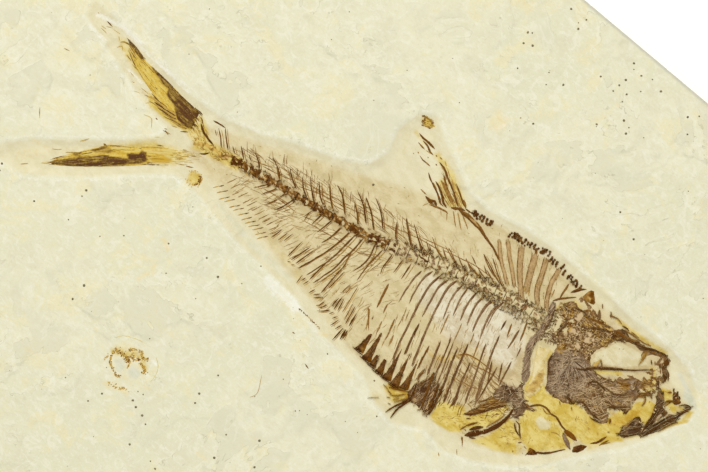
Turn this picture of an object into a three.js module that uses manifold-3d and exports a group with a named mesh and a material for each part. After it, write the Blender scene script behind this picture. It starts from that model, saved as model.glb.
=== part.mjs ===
// Fossil fish slab: a sawn plate of pale limestone with a small herring-like fish
// lying in a shallow cleared bed. Millimetres, +Z up, origin under the middle of the
// plate. Every bone is a low relief that stands on the flat floor of the bed.

import * as THREE from "three";
import { mergeVertices } from "three/addons/utils/BufferGeometryUtils.js";
import Module from "manifold-3d";

const wasm = await Module();
wasm.setup();

// ---------------------------------------------------------------- driving dimensions

const SLAB_LENGTH = 152.4;
const SLAB_WIDTH = 127;
const SLAB_THICKNESS = 12;
const ARRIS = 0.5;

const BED_DEPTH = 0.75;
const BED_FLOOR = SLAB_THICKNESS - BED_DEPTH;

// The fish has its own frame: x towards the head, y towards the back.
const FISH_X = -2.2;
const FISH_Y = 8.6;
const FISH_TURN = THREE.MathUtils.degToRad(10);

const BONE_RELIEF = 0.4;
const SKULL_RELIEF = 0.55;
const FIN_RELIEF = 0.3;
const BONE_GAP = 0.3;

const RIB_WIDTH = 0.5;
const SPINE_WIDTH = 0.4;
const SPINE_TIP_WIDTH = 0.25;
const FIN_RAY_WIDTH = 0.45;

const VERTEBRA_PITCH = 1.75;
const VERTEBRA_WAIST = 0.78;

const LIMESTONE = new THREE.Color(0xe5e0c1);
const BONE_BROWN = new THREE.Color(0x6e4c2c);
const SKULL_BROWN = new THREE.Color(0x7b6552);
const AMBER = new THREE.Color(0xc9a544);
const CREAM_BONE = new THREE.Color(0xd8c98f);

// ---------------------------------------------------------------- solids

function toManifold(geometry) {
  const bare = geometry.clone();
  bare.deleteAttribute("normal");
  bare.deleteAttribute("uv");
  const merged = mergeVertices(bare, 1e-5);
  return new wasm.Manifold(new wasm.Mesh({
    numProp: 3,
    vertProperties: new Float32Array(merged.attributes.position.array),
    triVerts: new Uint32Array(merged.index.array),
  }));
}

function toGeometry(manifold) {
  const mesh = manifold.getMesh();
  const geometry = new THREE.BufferGeometry();
  geometry.setAttribute("position", new THREE.BufferAttribute(mesh.vertProperties, 3));
  geometry.setIndex(new THREE.BufferAttribute(mesh.triVerts, 1));
  return geometry;
}

function vectors(points) {
  return points.map(([x, y]) => new THREE.Vector2(x, y));
}

function prism(outline, low, high, holes = []) {
  const shape = new THREE.Shape(outline);
  for (const hole of holes) shape.holes.push(new THREE.Path(hole));
  const geometry = new THREE.ExtrudeGeometry(shape, { depth: high - low, bevelEnabled: false });
  geometry.translate(0, 0, low);
  return toManifold(geometry);
}

// A strip along a line of points, whose width runs evenly from the first end to the last.
function stripOutline(line, firstWidth, lastWidth) {
  const left = [];
  const right = [];
  line.forEach((point, i) => {
    const before = line[Math.max(i - 1, 0)];
    const after = line[Math.min(i + 1, line.length - 1)];
    const along = after.clone().sub(before).normalize();
    const half = THREE.MathUtils.lerp(firstWidth, lastWidth, i / (line.length - 1)) / 2;
    const out = new THREE.Vector2(-along.y, along.x).multiplyScalar(half);
    left.push(point.clone().add(out));
    right.push(point.clone().sub(out));
  });
  return [...left, ...right.reverse()];
}

// Bones are described first and cut second, so that each can also be made a little
// larger as the room it keeps clear of its neighbours.

function bar(points, firstWidth, lastWidth = firstWidth, relief = BONE_RELIEF) {
  return { kind: "bar", line: vectors(points), firstWidth, lastWidth, relief };
}

function curvedBar(points, firstWidth, lastWidth = firstWidth, relief = BONE_RELIEF) {
  const curve = new THREE.SplineCurve(vectors(points));
  const line = curve.getPoints(2 * (points.length - 1));
  return { kind: "bar", line, firstWidth, lastWidth, relief };
}

function plate(points, relief = BONE_RELIEF, holes = []) {
  return { kind: "plate", outline: vectors(points), holes: holes.map(vectors), relief };
}

function solid(piece) {
  if (piece.kind === "plate") return prism(piece.outline, 0, piece.relief, piece.holes);
  return prism(stripOutline(piece.line, piece.firstWidth, piece.lastWidth), 0, piece.relief);
}

const ROOM_BELOW = -1;
const ROOM_ABOVE = 2;

function room(piece) {
  if (piece.kind === "bar") {
    const first = piece.firstWidth + 2 * BONE_GAP;
    const last = piece.lastWidth + 2 * BONE_GAP;
    return prism(stripOutline(longer(piece.line), first, last), ROOM_BELOW, ROOM_ABOVE);
  }
  const { outline } = piece;
  return outline.reduce((grown, point, i) => {
    const next = outline[(i + 1) % outline.length];
    const edge = stripOutline(longer([point, next]), 2 * BONE_GAP, 2 * BONE_GAP);
    return grown.add(prism(edge, ROOM_BELOW, ROOM_ABOVE));
  }, prism(outline, ROOM_BELOW, ROOM_ABOVE));
}

function longer(line) {
  const first = line[0].clone().sub(line[1]).setLength(BONE_GAP).add(line[0]);
  const last = line.at(-1).clone().sub(line.at(-2)).setLength(BONE_GAP).add(line.at(-1));
  return [first, ...line.slice(1, -1), last];
}

function joined(pieces, make) {
  return pieces.map(make).reduce((all, one) => all.add(one));
}

function finish(name, color, roughness) {
  return new THREE.MeshStandardMaterial({ name, color, roughness, metalness: 0 });
}

// ---------------------------------------------------------------- the plate

// A sawn plate, hardly out of square, with its corners knocked.
const SLAB_OUTLINE = vectors([
  [-74.6, -SLAB_WIDTH / 2],
  [70.2, -62.9],
  [73.6, -61.4],
  [SLAB_LENGTH / 2, -57.2],
  [75.5, 61.4],
  [73.1, SLAB_WIDTH / 2],
  [-74.9, SLAB_WIDTH / 2],
  [-SLAB_LENGTH / 2, 61.9],
  [-75.9, -62.3],
]);

// The cleared bed, in the fish frame.
const BED_OUTLINE = vectors([
  [-57, 12.5], [-44, 9.3], [-32, 6.3], [-22, 7], [-8, 10], [-4, 11.5], [-2, 15],
  [-2.5, 19], [-1, 23.5], [2, 24.3], [5, 21.5], [13, 15.8], [30, 15], [41, 12.8],
  [55, 10.2], [62.7, 6], [64.4, 3.4], [62.8, -0.8], [60.4, -4], [57, -7.6], [50, -14], [41, -20.5],
  [31, -23.6], [20.5, -24.4], [15, -22.4], [8, -18.2], [-3, -14], [-15, -11], [-25, -7.2], [-31, -6],
  [-36, -8.8], [-48, -16.3], [-57.5, -18.8], [-59, -16], [-47, -8.6], [-36, -1.8],
  [-36, 0], [-46, 4], [-57, 9.5],
]);

function makeSlab() {
  const shape = new THREE.Shape(SLAB_OUTLINE);
  const block = new THREE.ExtrudeGeometry(shape, {
    depth: SLAB_THICKNESS - 2 * ARRIS,
    bevelEnabled: true,
    bevelSegments: 1,
    bevelSize: ARRIS,
    bevelThickness: ARRIS,
    bevelOffset: -ARRIS,
  });
  block.translate(0, 0, ARRIS);
  const centre = new THREE.Vector2();
  const bed = BED_OUTLINE.map((point) => {
    return point.clone().rotateAround(centre, FISH_TURN).add(new THREE.Vector2(FISH_X, FISH_Y));
  });
  const cleared = toManifold(block).subtract(prism(bed, BED_FLOOR, SLAB_THICKNESS + 1));
  const mesh = new THREE.Mesh(toGeometry(cleared), finish("limestone", LIMESTONE, 0.9));
  mesh.name = "slab";
  return mesh;
}

// ---------------------------------------------------------------- head

const SKULL_OUTLINE = [
  [38.5, 0.8], [38.5, -2], [39.6, -4], [40.4, -6.2], [42, -7], [45.5, -6.5], [47, -5.7],
  [50, -6.7], [52.3, -5.8], [51.2, -3.8], [52.3, -3.1], [54.2, -3], [54.2, -1],
  [55.4, 1], [56.6, 3], [56.9, 5.2], [56.1, 7], [56, 8.6], [55, 9], [50, 8.5],
  [46.5, 9.3], [42, 9], [38.8, 10], [36.4, 8], [36, 4.5], [36.8, 2],
];

const ORBIT = [
  [44.9, 1.2], [44.1, 3], [45.5, 4.8], [46.3, 6.2], [48.5, 7.3], [51, 7.3], [53.4, 6.3],
  [53.6, 4.6], [50.2, 2.6], [47, 0.9],
];

const LOWER_JAW = [
  [54.9, -3.9], [54.8, -6.5], [56.2, -6.6], [58.2, -5.1], [60, -3], [62, 0], [63.2, 3.1],
  [62.6, 3.4], [61.3, 1.5], [60.3, 0], [59.4, -1.4], [58.6, -3.2], [57, -3.2], [56, -2.7],
];

const GILL_COVER = [
  [35.6, -0.4], [38.2, 0.4], [38.2, -2.1], [39.2, -4.1], [40.1, -6.4], [38.9, -9.4],
  [37.6, -8.6], [37.5, -5.6], [36.2, -2.6],
];

const SHOULDER_BLADE = [
  [36.1, -8.7], [37.3, -8.6], [38.7, -9.9], [40.7, -9.9], [40.6, -10.7], [39.5, -11.5],
  [39, -12.8], [38, -12.6], [37.4, -11.2], [36, -10.4],
];

function addHead(add) {
  const parasphenoid = bar([[43.4, -0.4], [45, 0.5], [50, 3.2], [54, 5.5]], 0.6, 0.6, SKULL_RELIEF);
  const skullPlate = plate(SKULL_OUTLINE, SKULL_RELIEF, [ORBIT]);
  add("skull", SKULL_BROWN, [skullPlate, parasphenoid]);
  add("lower_jaw", BONE_BROWN, [plate(LOWER_JAW, SKULL_RELIEF)]);
  add("upper_jaw", BONE_BROWN, [
    curvedBar([[60.6, 2.6], [58.9, 2.6], [58.3, 0.6], [58.2, -1.4], [57.6, -2.9]], 0.7),
  ]);
  add("snout_bone", BONE_BROWN, [bar([[58.2, 3.9], [59.3, 3.9], [60.6, 3.8]], 0.7)]);
  add("gill_cover", CREAM_BONE, [plate(GILL_COVER)]);
  add("shoulder_bone", SKULL_BROWN, [
    curvedBar([[34.3, 7], [35, 4.4], [34.6, 0], [35.2, -3.5], [36.7, -7.2]], 0.8, 0.9),
  ]);
  add("shoulder_blade", SKULL_BROWN, [plate(SHOULDER_BLADE)]);
  add("upper_throat_bone", BONE_BROWN, [
    curvedBar([[39.8, -9.4], [42, -8.7], [44.5, -9.3], [47, -10.5], [49.3, -10.9]], 0.4, 0.8),
  ]);
  add("lower_throat_bone", BONE_BROWN, [
    curvedBar([[42.9, -17.2], [44.8, -15.8], [47, -14.3], [48.3, -13.3]], 1, 0.4),
  ]);
  add("throat_splint", SKULL_BROWN, [bar([[46.6, -11.4], [49, -12.8]], 0.7)]);
  add("throat_wedge", BONE_BROWN, [bar([[49.7, -12.9], [51, -11.3]], 0.8, 0.6)]);
  add("chin_splint", BONE_BROWN, [bar([[51.6, -10.2], [52.9, -8]], 0.5, 0.4)]);
  add("skull_crest", BONE_BROWN, [bar([[38, 11], [39.3, 11.5], [40.4, 9.9]], 0.5)]);
}

// ---------------------------------------------------------------- backbone

// Along the column: x, height of the middle, and depth of the centra.
const COLUMN_STATIONS = [
  [-31, 0.6, 1.5], [-22.5, 0.9, 1.7], [1.5, 1.05, 1.9], [5, 1.5, 2.5], [11, 2.25, 2.4],
  [15, 3, 2.5], [19, 3.25, 2.1], [24, 3.7, 1.8], [28, 4.1, 2.1], [33, 3.8, 2.3],
];

const NEURAL_SPINES = [
  [[-28.5, 4.3], [-27.2, 2.6], [-26.5, 1]],
  [[-27.6, 4.9], [-25.3, 1]],
  [[-25, 2.9], [-23.7, 1]],
  [[-23.8, 3.6], [-22, 1]],
  [[-21.3, 3.8], [-18.9, 1]],
  [[-18.3, 4.6], [-16, 2.8], [-14.8, 1]],
  [[-15, 4.6], [-12.2, 2], [-11.4, 1]],
  [[-12.4, 4.3], [-10, 1.5], [-9.6, 1]],
  [[-11.3, 5], [-8.6, 1.6], [-8, 1]],
  [[-9.6, 5], [-7, 1.8], [-6.4, 1]],
  [[-7.9, 5.5], [-5.2, 2], [-4.5, 1]],
  [[-6.7, 6], [-4.8, 4.6], [-3.1, 2.3], [-2.6, 1]],
  [[-3, 5.2], [-1.2, 3.3], [0, 1]],
  [[-3.2, 6.8], [-1.2, 5.2], [0.8, 2.7], [1.6, 1]],
  [[-1.5, 6.6], [0.5, 4.8], [2.4, 2.5], [3, 1.5]],
  [[0, 7.3], [2, 5.6], [3.7, 3.2], [4.4, 1.6]],
  [[5, 5.6], [6.2, 3], [6.6, 2]],
  [[6, 7], [8, 4.5], [9.5, 3], [10, 2]],
  [[7.7, 6.7], [10, 4.5], [12.5, 2.8]],
];

const HAEMAL_SPINES = [
  [[-16.6, 1], [-17, 0], [-18.5, -1.4]],
  [[-15, 1], [-15.4, 0], [-16.9, -1.8]],
  [[-13, 1], [-14, -0.9], [-15.5, -3]],
  [[-11.2, 1], [-11.8, 0], [-13.7, -2.9]],
  [[-7.8, 1], [-8.2, 0], [-8.9, -1.8]],
  [[-6.2, 1], [-6.6, -0.3], [-7.1, -2.1]],
  [[-4.2, 1], [-4.7, -0.1], [-5.6, -2.5]],
  [[-2.4, 1], [-2.7, -0.1], [-3.2, -2], [-4.1, -3.7]],
  [[-0.7, 1], [-1, -0.2], [-2.4, -4], [-4.8, -8.4]],
  [[0.2, 1], [0, -0.3], [-1.5, -5.5], [-3, -8.6]],
  [[1.4, 1], [1.1, -1.9], [-0.3, -6.7], [-1.4, -9]],
  [[3.4, 1.4], [3.9, -1.5], [3.7, -3.2], [2.8, -5.2]],
  [[5.4, 1.4], [4.6, -3], [4.1, -6.2]],
  [[7.1, 1.6], [6.8, -2], [7, -3.3]],
  [[9.1, 2], [8.7, -2]],
  [[10.7, 2], [10.4, -2.3]],
];

function columnAt(x) {
  const next = COLUMN_STATIONS.findIndex((station, i) => i > 0 && station[0] >= x);
  const [x0, middle0, depth0] = COLUMN_STATIONS[next - 1];
  const [x1, middle1, depth1] = COLUMN_STATIONS[next];
  const share = (x - x0) / (x1 - x0);
  const middle = THREE.MathUtils.lerp(middle0, middle1, share);
  return { middle, depth: THREE.MathUtils.lerp(depth0, depth1, share) };
}

// The column's edge swells at every joint and narrows at every vertebra's waist.
function columnOutline() {
  const first = COLUMN_STATIONS[0][0];
  const last = COLUMN_STATIONS.at(-1)[0];
  const count = Math.floor((last - first) / VERTEBRA_PITCH);
  const upper = [];
  const lower = [];
  for (let i = 0; i <= 2 * count; i += 1) {
    const x = first + (i * VERTEBRA_PITCH) / 2;
    const { middle, depth } = columnAt(x);
    const half = (depth / 2) * (i % 2 === 0 ? 1 : VERTEBRA_WAIST);
    upper.push([x, middle + half]);
    lower.push([x, middle - half]);
  }
  return [...lower, ...upper.reverse()];
}

function addBackbone(add) {
  const neural = NEURAL_SPINES.map((points) => bar(points, SPINE_TIP_WIDTH, SPINE_WIDTH));
  const haemal = HAEMAL_SPINES.map((points) => bar(points, SPINE_WIDTH, SPINE_TIP_WIDTH));
  add("backbone", BONE_BROWN, [plate(columnOutline()), ...neural, ...haemal]);
}

// ---------------------------------------------------------------- ribs and body bones

const RIBS = [
  [[12.7, 0.4], [12.1, -1], [12, -3.5], [12, -5.8]],
  [[14.2, 1.2], [13.6, -0.2], [13.4, -3], [13.6, -5.2]],
  [[15.7, 1.3], [15.1, -0.8], [15, -3], [15.1, -6], [15.4, -10.6]],
  [[17.3, 1.5], [16.5, -0.3], [16.5, -4], [16.7, -7.2], [17, -11]],
  [[18.7, 1.6], [17.9, 0.5], [18, -3], [18.2, -7], [18.6, -11.4]],
  [[19.8, 1.7], [19.3, 0], [19.4, -2.3], [19.8, -4.7]],
  [[20.9, 1.8], [20.6, 0], [20.8, -2], [21.3, -8], [22.2, -13.6]],
  [[22.4, 2], [22.1, 0], [22.2, -3.4], [22.5, -6.5], [23.4, -12.6]],
  [[23.9, 2.2], [23.4, 0.5], [23.5, -2], [24.1, -7], [24.9, -13.8]],
  [[25.5, 2.3], [24.9, 1], [24.8, -1.5], [25.4, -6], [26.5, -13.6]],
  [[26.7, 2.3], [26.3, 0.5], [26.3, -2], [27.2, -8], [28, -15]],
  [[28.4, 2.4], [28, 0.5], [28, -3.5], [28.7, -8.5], [29.7, -13]],
  [[30, 2.2], [29.3, -2.2], [30.3, -8], [31.3, -13]],
  [[31.7, 1.6], [31.4, -3.5], [32, -7.4], [32.6, -11]],
  [[33.1, 1.2], [32.9, -2], [33.4, -6], [33.9, -9]],
];

const PREDORSAL_BONES = [
  { points: [[21.4, 11.5], [23, 9], [25.2, 6.8], [25.9, 6]], width: 0.5 },
  { points: [[22.7, 12.1], [24.3, 9.9], [26.3, 7.5], [27.5, 6]], width: 0.5 },
  { points: [[25, 12.3], [25.6, 11], [27, 8.9], [28.8, 6.2]], width: 0.6 },
  { points: [[27.5, 12.3], [28.2, 10], [29, 8], [30, 6]], width: 0.7 },
  { points: [[29.6, 12.3], [30.2, 10.5], [30.7, 8.5], [31.7, 6]], width: 0.6 },
  { points: [[32.4, 11.6], [32.4, 10], [32.8, 7.5], [33.4, 5.8]], width: 0.5 },
];

const BELLY_SCUTES = [
  { spike: [10.8, -13], back: [9.1, -16.3], front: [11.3, -16.5] },
  { spike: [12.5, -12.3], back: [11.7, -16.8], front: [12.9, -16.9] },
  { spike: [13.8, -15.6], back: [13.3, -17.4], front: [14.3, -17.4] },
  { spike: [15.1, -15.6], back: [14.7, -17.8], front: [15.9, -17.9] },
  { spike: [16.5, -12.5], back: [16.3, -18.2], front: [17.5, -18.2] },
  { spike: [18.1, -13], back: [17.9, -18.4], front: [19, -18.5] },
  { spike: [19.7, -13], back: [19.4, -18], front: [20.6, -18] },
];

function numbered(name, index) {
  return `${name}_${String(index + 1).padStart(2, "0")}`;
}

function addBody(add) {
  RIBS.forEach((points, i) => {
    add(numbered("rib", i), BONE_BROWN, [curvedBar(points, RIB_WIDTH, RIB_WIDTH / 2)]);
  });
  PREDORSAL_BONES.forEach(({ points, width }, i) => {
    add(numbered("predorsal_bone", i), BONE_BROWN, [bar(points, width)]);
  });
  BELLY_SCUTES.forEach(({ spike, back, front }, i) => {
    const tip = [spike[0] + SPINE_TIP_WIDTH, spike[1]];
    add(numbered("belly_scute", i), BONE_BROWN, [plate([back, front, tip, spike])]);
  });
}

// ---------------------------------------------------------------- fins

const DORSAL_BASE = [[8.9, 11.4], [11, 12], [13.3, 12.8], [15, 12.5], [16.8, 12]];
const DORSAL_RAYS = [
  [[10.4, 16.2], [12.6, 14.2], [14, 12.8]],
  [[6.2, 17.8], [7.9, 17], [10, 15.3], [13, 12.7]],
  [[8, 15.2], [9.5, 14.4], [12, 12.4]],
  [[5.6, 15.4], [7, 14.2], [10.8, 11.9]],
];

const ANAL_BASE = [
  [-23.3, -3.8], [-20, -5.4], [-16, -6.5], [-12, -7.7], [-8, -9], [-4, -10.2], [0, -11.3],
  [3, -12.5], [7, -13.6],
];
const ANAL_BEARERS = [
  [[-10.9, -5], [-12.3, -7.7]], [[-9, -4.9], [-10.8, -8.1]], [[-6.9, -5.3], [-8.2, -9]],
  [[3.5, -8], [3, -12.6]], [[5, -9], [4.9, -13.1]], [[6.8, -10], [6.7, -13.6]],
];
const ANAL_RAYS = [
  [[-3.4, -10.3], [-4.2, -11.6]], [[-0.3, -11.2], [-1.6, -12.2]], [[2, -12], [0.6, -13.8]],
  [[4.9, -13], [4.1, -14.9]], [[6, -13.4], [5.6, -16.6]], [[6.8, -13.6], [6.9, -16]],
];

const PELVIC_BONE = [
  [21.3, -17.3], [22.2, -15], [23.6, -15.4], [24.7, -15.8], [25.5, -17], [25.8, -19.6],
  [23.5, -19.3], [21.6, -18.7],
];
const PELVIC_RAYS = [
  [[22.4, -18.4], [20.3, -23.2]], [[22.2, -18.4], [19.2, -22.7]], [[22.2, -18.6], [17.6, -21.6]],
];

const PECTORAL_RAYS = [
  [[36, -11], [34, -13], [32, -15.2], [30.6, -16.3]],
  [[36, -11.2], [34.6, -13.8], [32.6, -16.4], [31.4, -17.2]],
];
const PECTORAL_SPINE = [[37.2, -12.2], [36.9, -14], [36, -16.3], [34.6, -18.2], [32.9, -19.5]];

const UPPER_LOBE = [
  [-48.8, 9.6], [-45.5, 8.3], [-40, 7], [-37, 6.1], [-32.4, 5.1], [-32, 2.6], [-33, 1.3],
  [-37, 1.7], [-41, 3.4], [-45, 5.5], [-48.6, 7.9],
];
const LOWER_LOBE = [
  [-31.8, -1.6], [-34.5, -3], [-40, -6], [-45, -8.7], [-49.6, -12.6], [-50.6, -15.4],
  [-45, -12.6], [-39, -9.2], [-36, -7], [-32.4, -5],
];

function rays(lines, rootWidth, tipWidth) {
  return lines.map((points) => bar(points, rootWidth, tipWidth, FIN_RELIEF));
}

function addFins(add) {
  add("dorsal_fin", BONE_BROWN, [
    bar(DORSAL_BASE, FIN_RAY_WIDTH, FIN_RAY_WIDTH, FIN_RELIEF),
    ...rays(DORSAL_RAYS, SPINE_TIP_WIDTH, FIN_RAY_WIDTH),
  ]);
  add("anal_fin", BONE_BROWN, [
    bar(ANAL_BASE, FIN_RAY_WIDTH, FIN_RAY_WIDTH, FIN_RELIEF),
    ...rays(ANAL_BEARERS, SPINE_TIP_WIDTH, FIN_RAY_WIDTH),
    ...rays(ANAL_RAYS, FIN_RAY_WIDTH, SPINE_TIP_WIDTH),
  ]);
  add("pelvic_fin", BONE_BROWN, [
    plate(PELVIC_BONE),
    ...rays(PELVIC_RAYS, FIN_RAY_WIDTH, SPINE_TIP_WIDTH),
  ]);
  add("pectoral_fin", BONE_BROWN, rays(PECTORAL_RAYS, FIN_RAY_WIDTH, 2 * FIN_RAY_WIDTH));
  add("pectoral_spine", BONE_BROWN, [curvedBar(PECTORAL_SPINE, 0.7, 1.3)]);
  add("tail_upper_lobe", AMBER, [plate(UPPER_LOBE, FIN_RELIEF)]);
  add("tail_lower_lobe", AMBER, [plate(LOWER_LOBE, FIN_RELIEF)]);
}

// ---------------------------------------------------------------- the whole piece

function makeFish() {
  const fish = new THREE.Group();
  fish.position.set(FISH_X, FISH_Y, BED_FLOOR);
  fish.rotation.z = FISH_TURN;
  let taken = null;
  function add(name, color, pieces) {
    const whole = joined(pieces, solid);
    const cut = taken ? whole.subtract(taken) : whole;
    const mesh = new THREE.Mesh(toGeometry(cut), finish(name, color, 0.7));
    mesh.name = name;
    fish.add(mesh);
    const own = joined(pieces, room);
    taken = taken ? taken.add(own) : own;
  }
  addHead(add);
  addBackbone(add);
  addBody(add);
  addFins(add);
  return fish;
}

const fossil = new THREE.Group();
fossil.add(makeSlab(), makeFish());

export default fossil;
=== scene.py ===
import math
import random

import bpy
import numpy as np
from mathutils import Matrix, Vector, geometry, noise


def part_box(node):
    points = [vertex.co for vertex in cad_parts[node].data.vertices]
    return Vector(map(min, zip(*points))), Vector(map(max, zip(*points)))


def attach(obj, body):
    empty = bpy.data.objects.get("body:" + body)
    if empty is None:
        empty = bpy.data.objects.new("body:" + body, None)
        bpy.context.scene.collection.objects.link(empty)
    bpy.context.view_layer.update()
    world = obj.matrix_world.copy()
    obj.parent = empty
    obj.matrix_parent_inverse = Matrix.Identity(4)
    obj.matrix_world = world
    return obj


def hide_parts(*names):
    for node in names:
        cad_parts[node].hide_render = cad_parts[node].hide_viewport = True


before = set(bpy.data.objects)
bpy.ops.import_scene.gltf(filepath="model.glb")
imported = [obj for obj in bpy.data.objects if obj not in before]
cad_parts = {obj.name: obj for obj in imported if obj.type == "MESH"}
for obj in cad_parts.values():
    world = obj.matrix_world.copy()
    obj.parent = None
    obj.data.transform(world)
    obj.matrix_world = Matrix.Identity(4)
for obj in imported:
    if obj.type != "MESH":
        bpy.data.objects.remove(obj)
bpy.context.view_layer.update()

# Lengths in this script are millimetres until they reach Blender, which takes metres.
MM = 0.001

# The fish has its own frame on the plate: x towards the head, y towards the back.
FISH_AT = np.array([-2.2, 8.6])
FISH_TURN = math.radians(10)
BED_DEPTH = 0.55
CAMERA_TURN = math.radians(40)
VIEW_WIDTH = 118.0
LENS = 100.0
SENSOR = 36.0

(LEFT, BOTTOM, BACK), (RIGHT, TOP, FACE) = [[c / MM for c in corner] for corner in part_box("slab")]


def to_plate(x, y):
    """Fish frame to plate frame."""
    c, s = math.cos(FISH_TURN), math.sin(FISH_TURN)
    return x * c - y * s + FISH_AT[0], x * s + y * c + FISH_AT[1]


def to_fish(x, y):
    """Plate frame to fish frame."""
    c, s = math.cos(FISH_TURN), math.sin(FISH_TURN)
    x, y = x - FISH_AT[0], y - FISH_AT[1]
    return x * c + y * s, y * c - x * s


def ease(low, high, value):
    """Runs smoothly from 0 to 1 as value runs from low to high."""
    t = np.clip((value - low) / (high - low), 0.0, 1.0)
    return t * t * (3.0 - 2.0 * t)


def rough(x, y, size, detail=3, seed=0.0):
    """Fractal noise from about -1 to 1, with lumps of the given size."""
    return noise.fractal((x / size, y / size, seed), 1.0, 2.0, detail)


def path(*flat):
    """Places from x and y written in turn."""
    return list(zip(flat[::2], flat[1::2]))


def lines_of(table):
    """Unfolds a table's rows: the widths at a line's two ends, how dark it is, how golden if it says so
    (the row then has an even count), and the line's x and y in turn."""
    for row in table:
        own = 3 if len(row) % 2 else 4
        yield path(*row[own:]), *row[:own]


# ---------------------------------------------------------------- outlines

BED = path(
    -57, 12.5, -50, 11, -44, 9.3, -38, 7.6, -32, 6.3, -28, 6.2, -22, 7, -16, 8.5, -8, 10, -4, 11.5, -2, 15,
    -2.5, 19, -1, 23, 2, 24.3, 5, 21.5, 9, 18.8, 13, 15.8, 17, 14.9, 24, 15.2, 30, 15, 36, 13.6, 41, 12.8,
    47, 11.3, 55, 10.2, 59, 9, 62.5, 6, 64, 3, 62, -1, 59.5, -4.5, 56, -8.5, 50, -13.5, 46, -17.5, 41, -20.5,
    36, -22.5, 31, -23.5, 26, -22, 21, -23.8, 17, -22.5, 13, -19.5, 8, -18, 3, -16.8, -3, -14, -9, -12.3,
    -15, -11, -20, -9.3, -25, -7.2, -31, -6, -36, -8.8, -42, -12.8, -48, -16.3, -53, -18.8, -58, -18.5,
    -59, -16, -54, -12.5, -47, -8.6, -40, -4.5, -36, -1.8, -36, 0, -41, 1.5, -46, 4, -51, 6.5, -57, 9.5,
)

BODY = path(
    -32, 3.5, -22, 5.5, -12, 8, -2, 10, 6, 12, 14, 13.4, 24, 14, 36, 12.2, 44, 10.2, 55, 9.2, 58, 5, 63, 3.6,
    60, -3, 55.5, -7, 49, -13, 41, -18.5, 33, -20.5, 26, -20.2, 18, -19, 9, -17, 3, -14, -4, -11.6,
    -12, -8.6, -22, -4.8, -31, -2.5,
)


def reach(points, outline):
    """How far each point lies inside a closed outline, below 0 outside it."""
    corners = np.array(outline, dtype=float)
    nearest = np.full(len(points), 1e9)
    inside = np.zeros(len(points), dtype=bool)
    for a, b in zip(corners, np.roll(corners, -1, axis=0)):
        span = b - a
        share = np.clip(((points - a) @ span) / (span @ span), 0.0, 1.0)
        nearest = np.minimum(nearest, np.linalg.norm(points - a - share[:, None] * span, axis=1))
        straddles = (a[1] > points[:, 1]) != (b[1] > points[:, 1])
        crossing = a[0] + (points[:, 1] - a[1]) * span[0] / (span[1] if span[1] else 1e-9)
        inside ^= straddles & (points[:, 0] < crossing)
    return np.where(inside, nearest, -nearest)


def band(points, line, width):
    """How far each point lies inside a band along an open line."""
    corners = np.array(line, dtype=float)
    nearest = np.full(len(points), 1e9)
    for a, b in zip(corners[:-1], corners[1:]):
        span = b - a
        share = np.clip(((points - a) @ span) / max(span @ span, 1e-9), 0.0, 1.0)
        nearest = np.minimum(nearest, np.linalg.norm(points - a - share[:, None] * span, axis=1))
    return width / 2 - nearest


# ---------------------------------------------------------------- shader writing


def tone(red, green, blue):
    """A colour from its eight-bit screen values, for stone seen in the full studio light."""
    def linear(value):
        value /= 255
        return value / 12.92 if value <= 0.04045 else ((value + 0.055) / 1.055) ** 2.4
    return (*(linear(v) for v in (red, green, blue)), 1.0)


class Wire:
    """A shader value that joins in a sum as a number does."""

    def __init__(self, finish, socket):
        self.finish = finish
        self.socket = socket

    def combine(self, operation, first, second):
        return self.finish.node("Math", {"operation": operation}, {0: first, 1: second})

    def __add__(self, other):
        return self.combine("ADD", self, other)

    def __radd__(self, other):
        return self.combine("ADD", other, self)

    def __sub__(self, other):
        return self.combine("SUBTRACT", self, other)

    def __rsub__(self, other):
        return self.combine("SUBTRACT", other, self)

    def __mul__(self, other):
        return self.combine("MULTIPLY", self, other)


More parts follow.
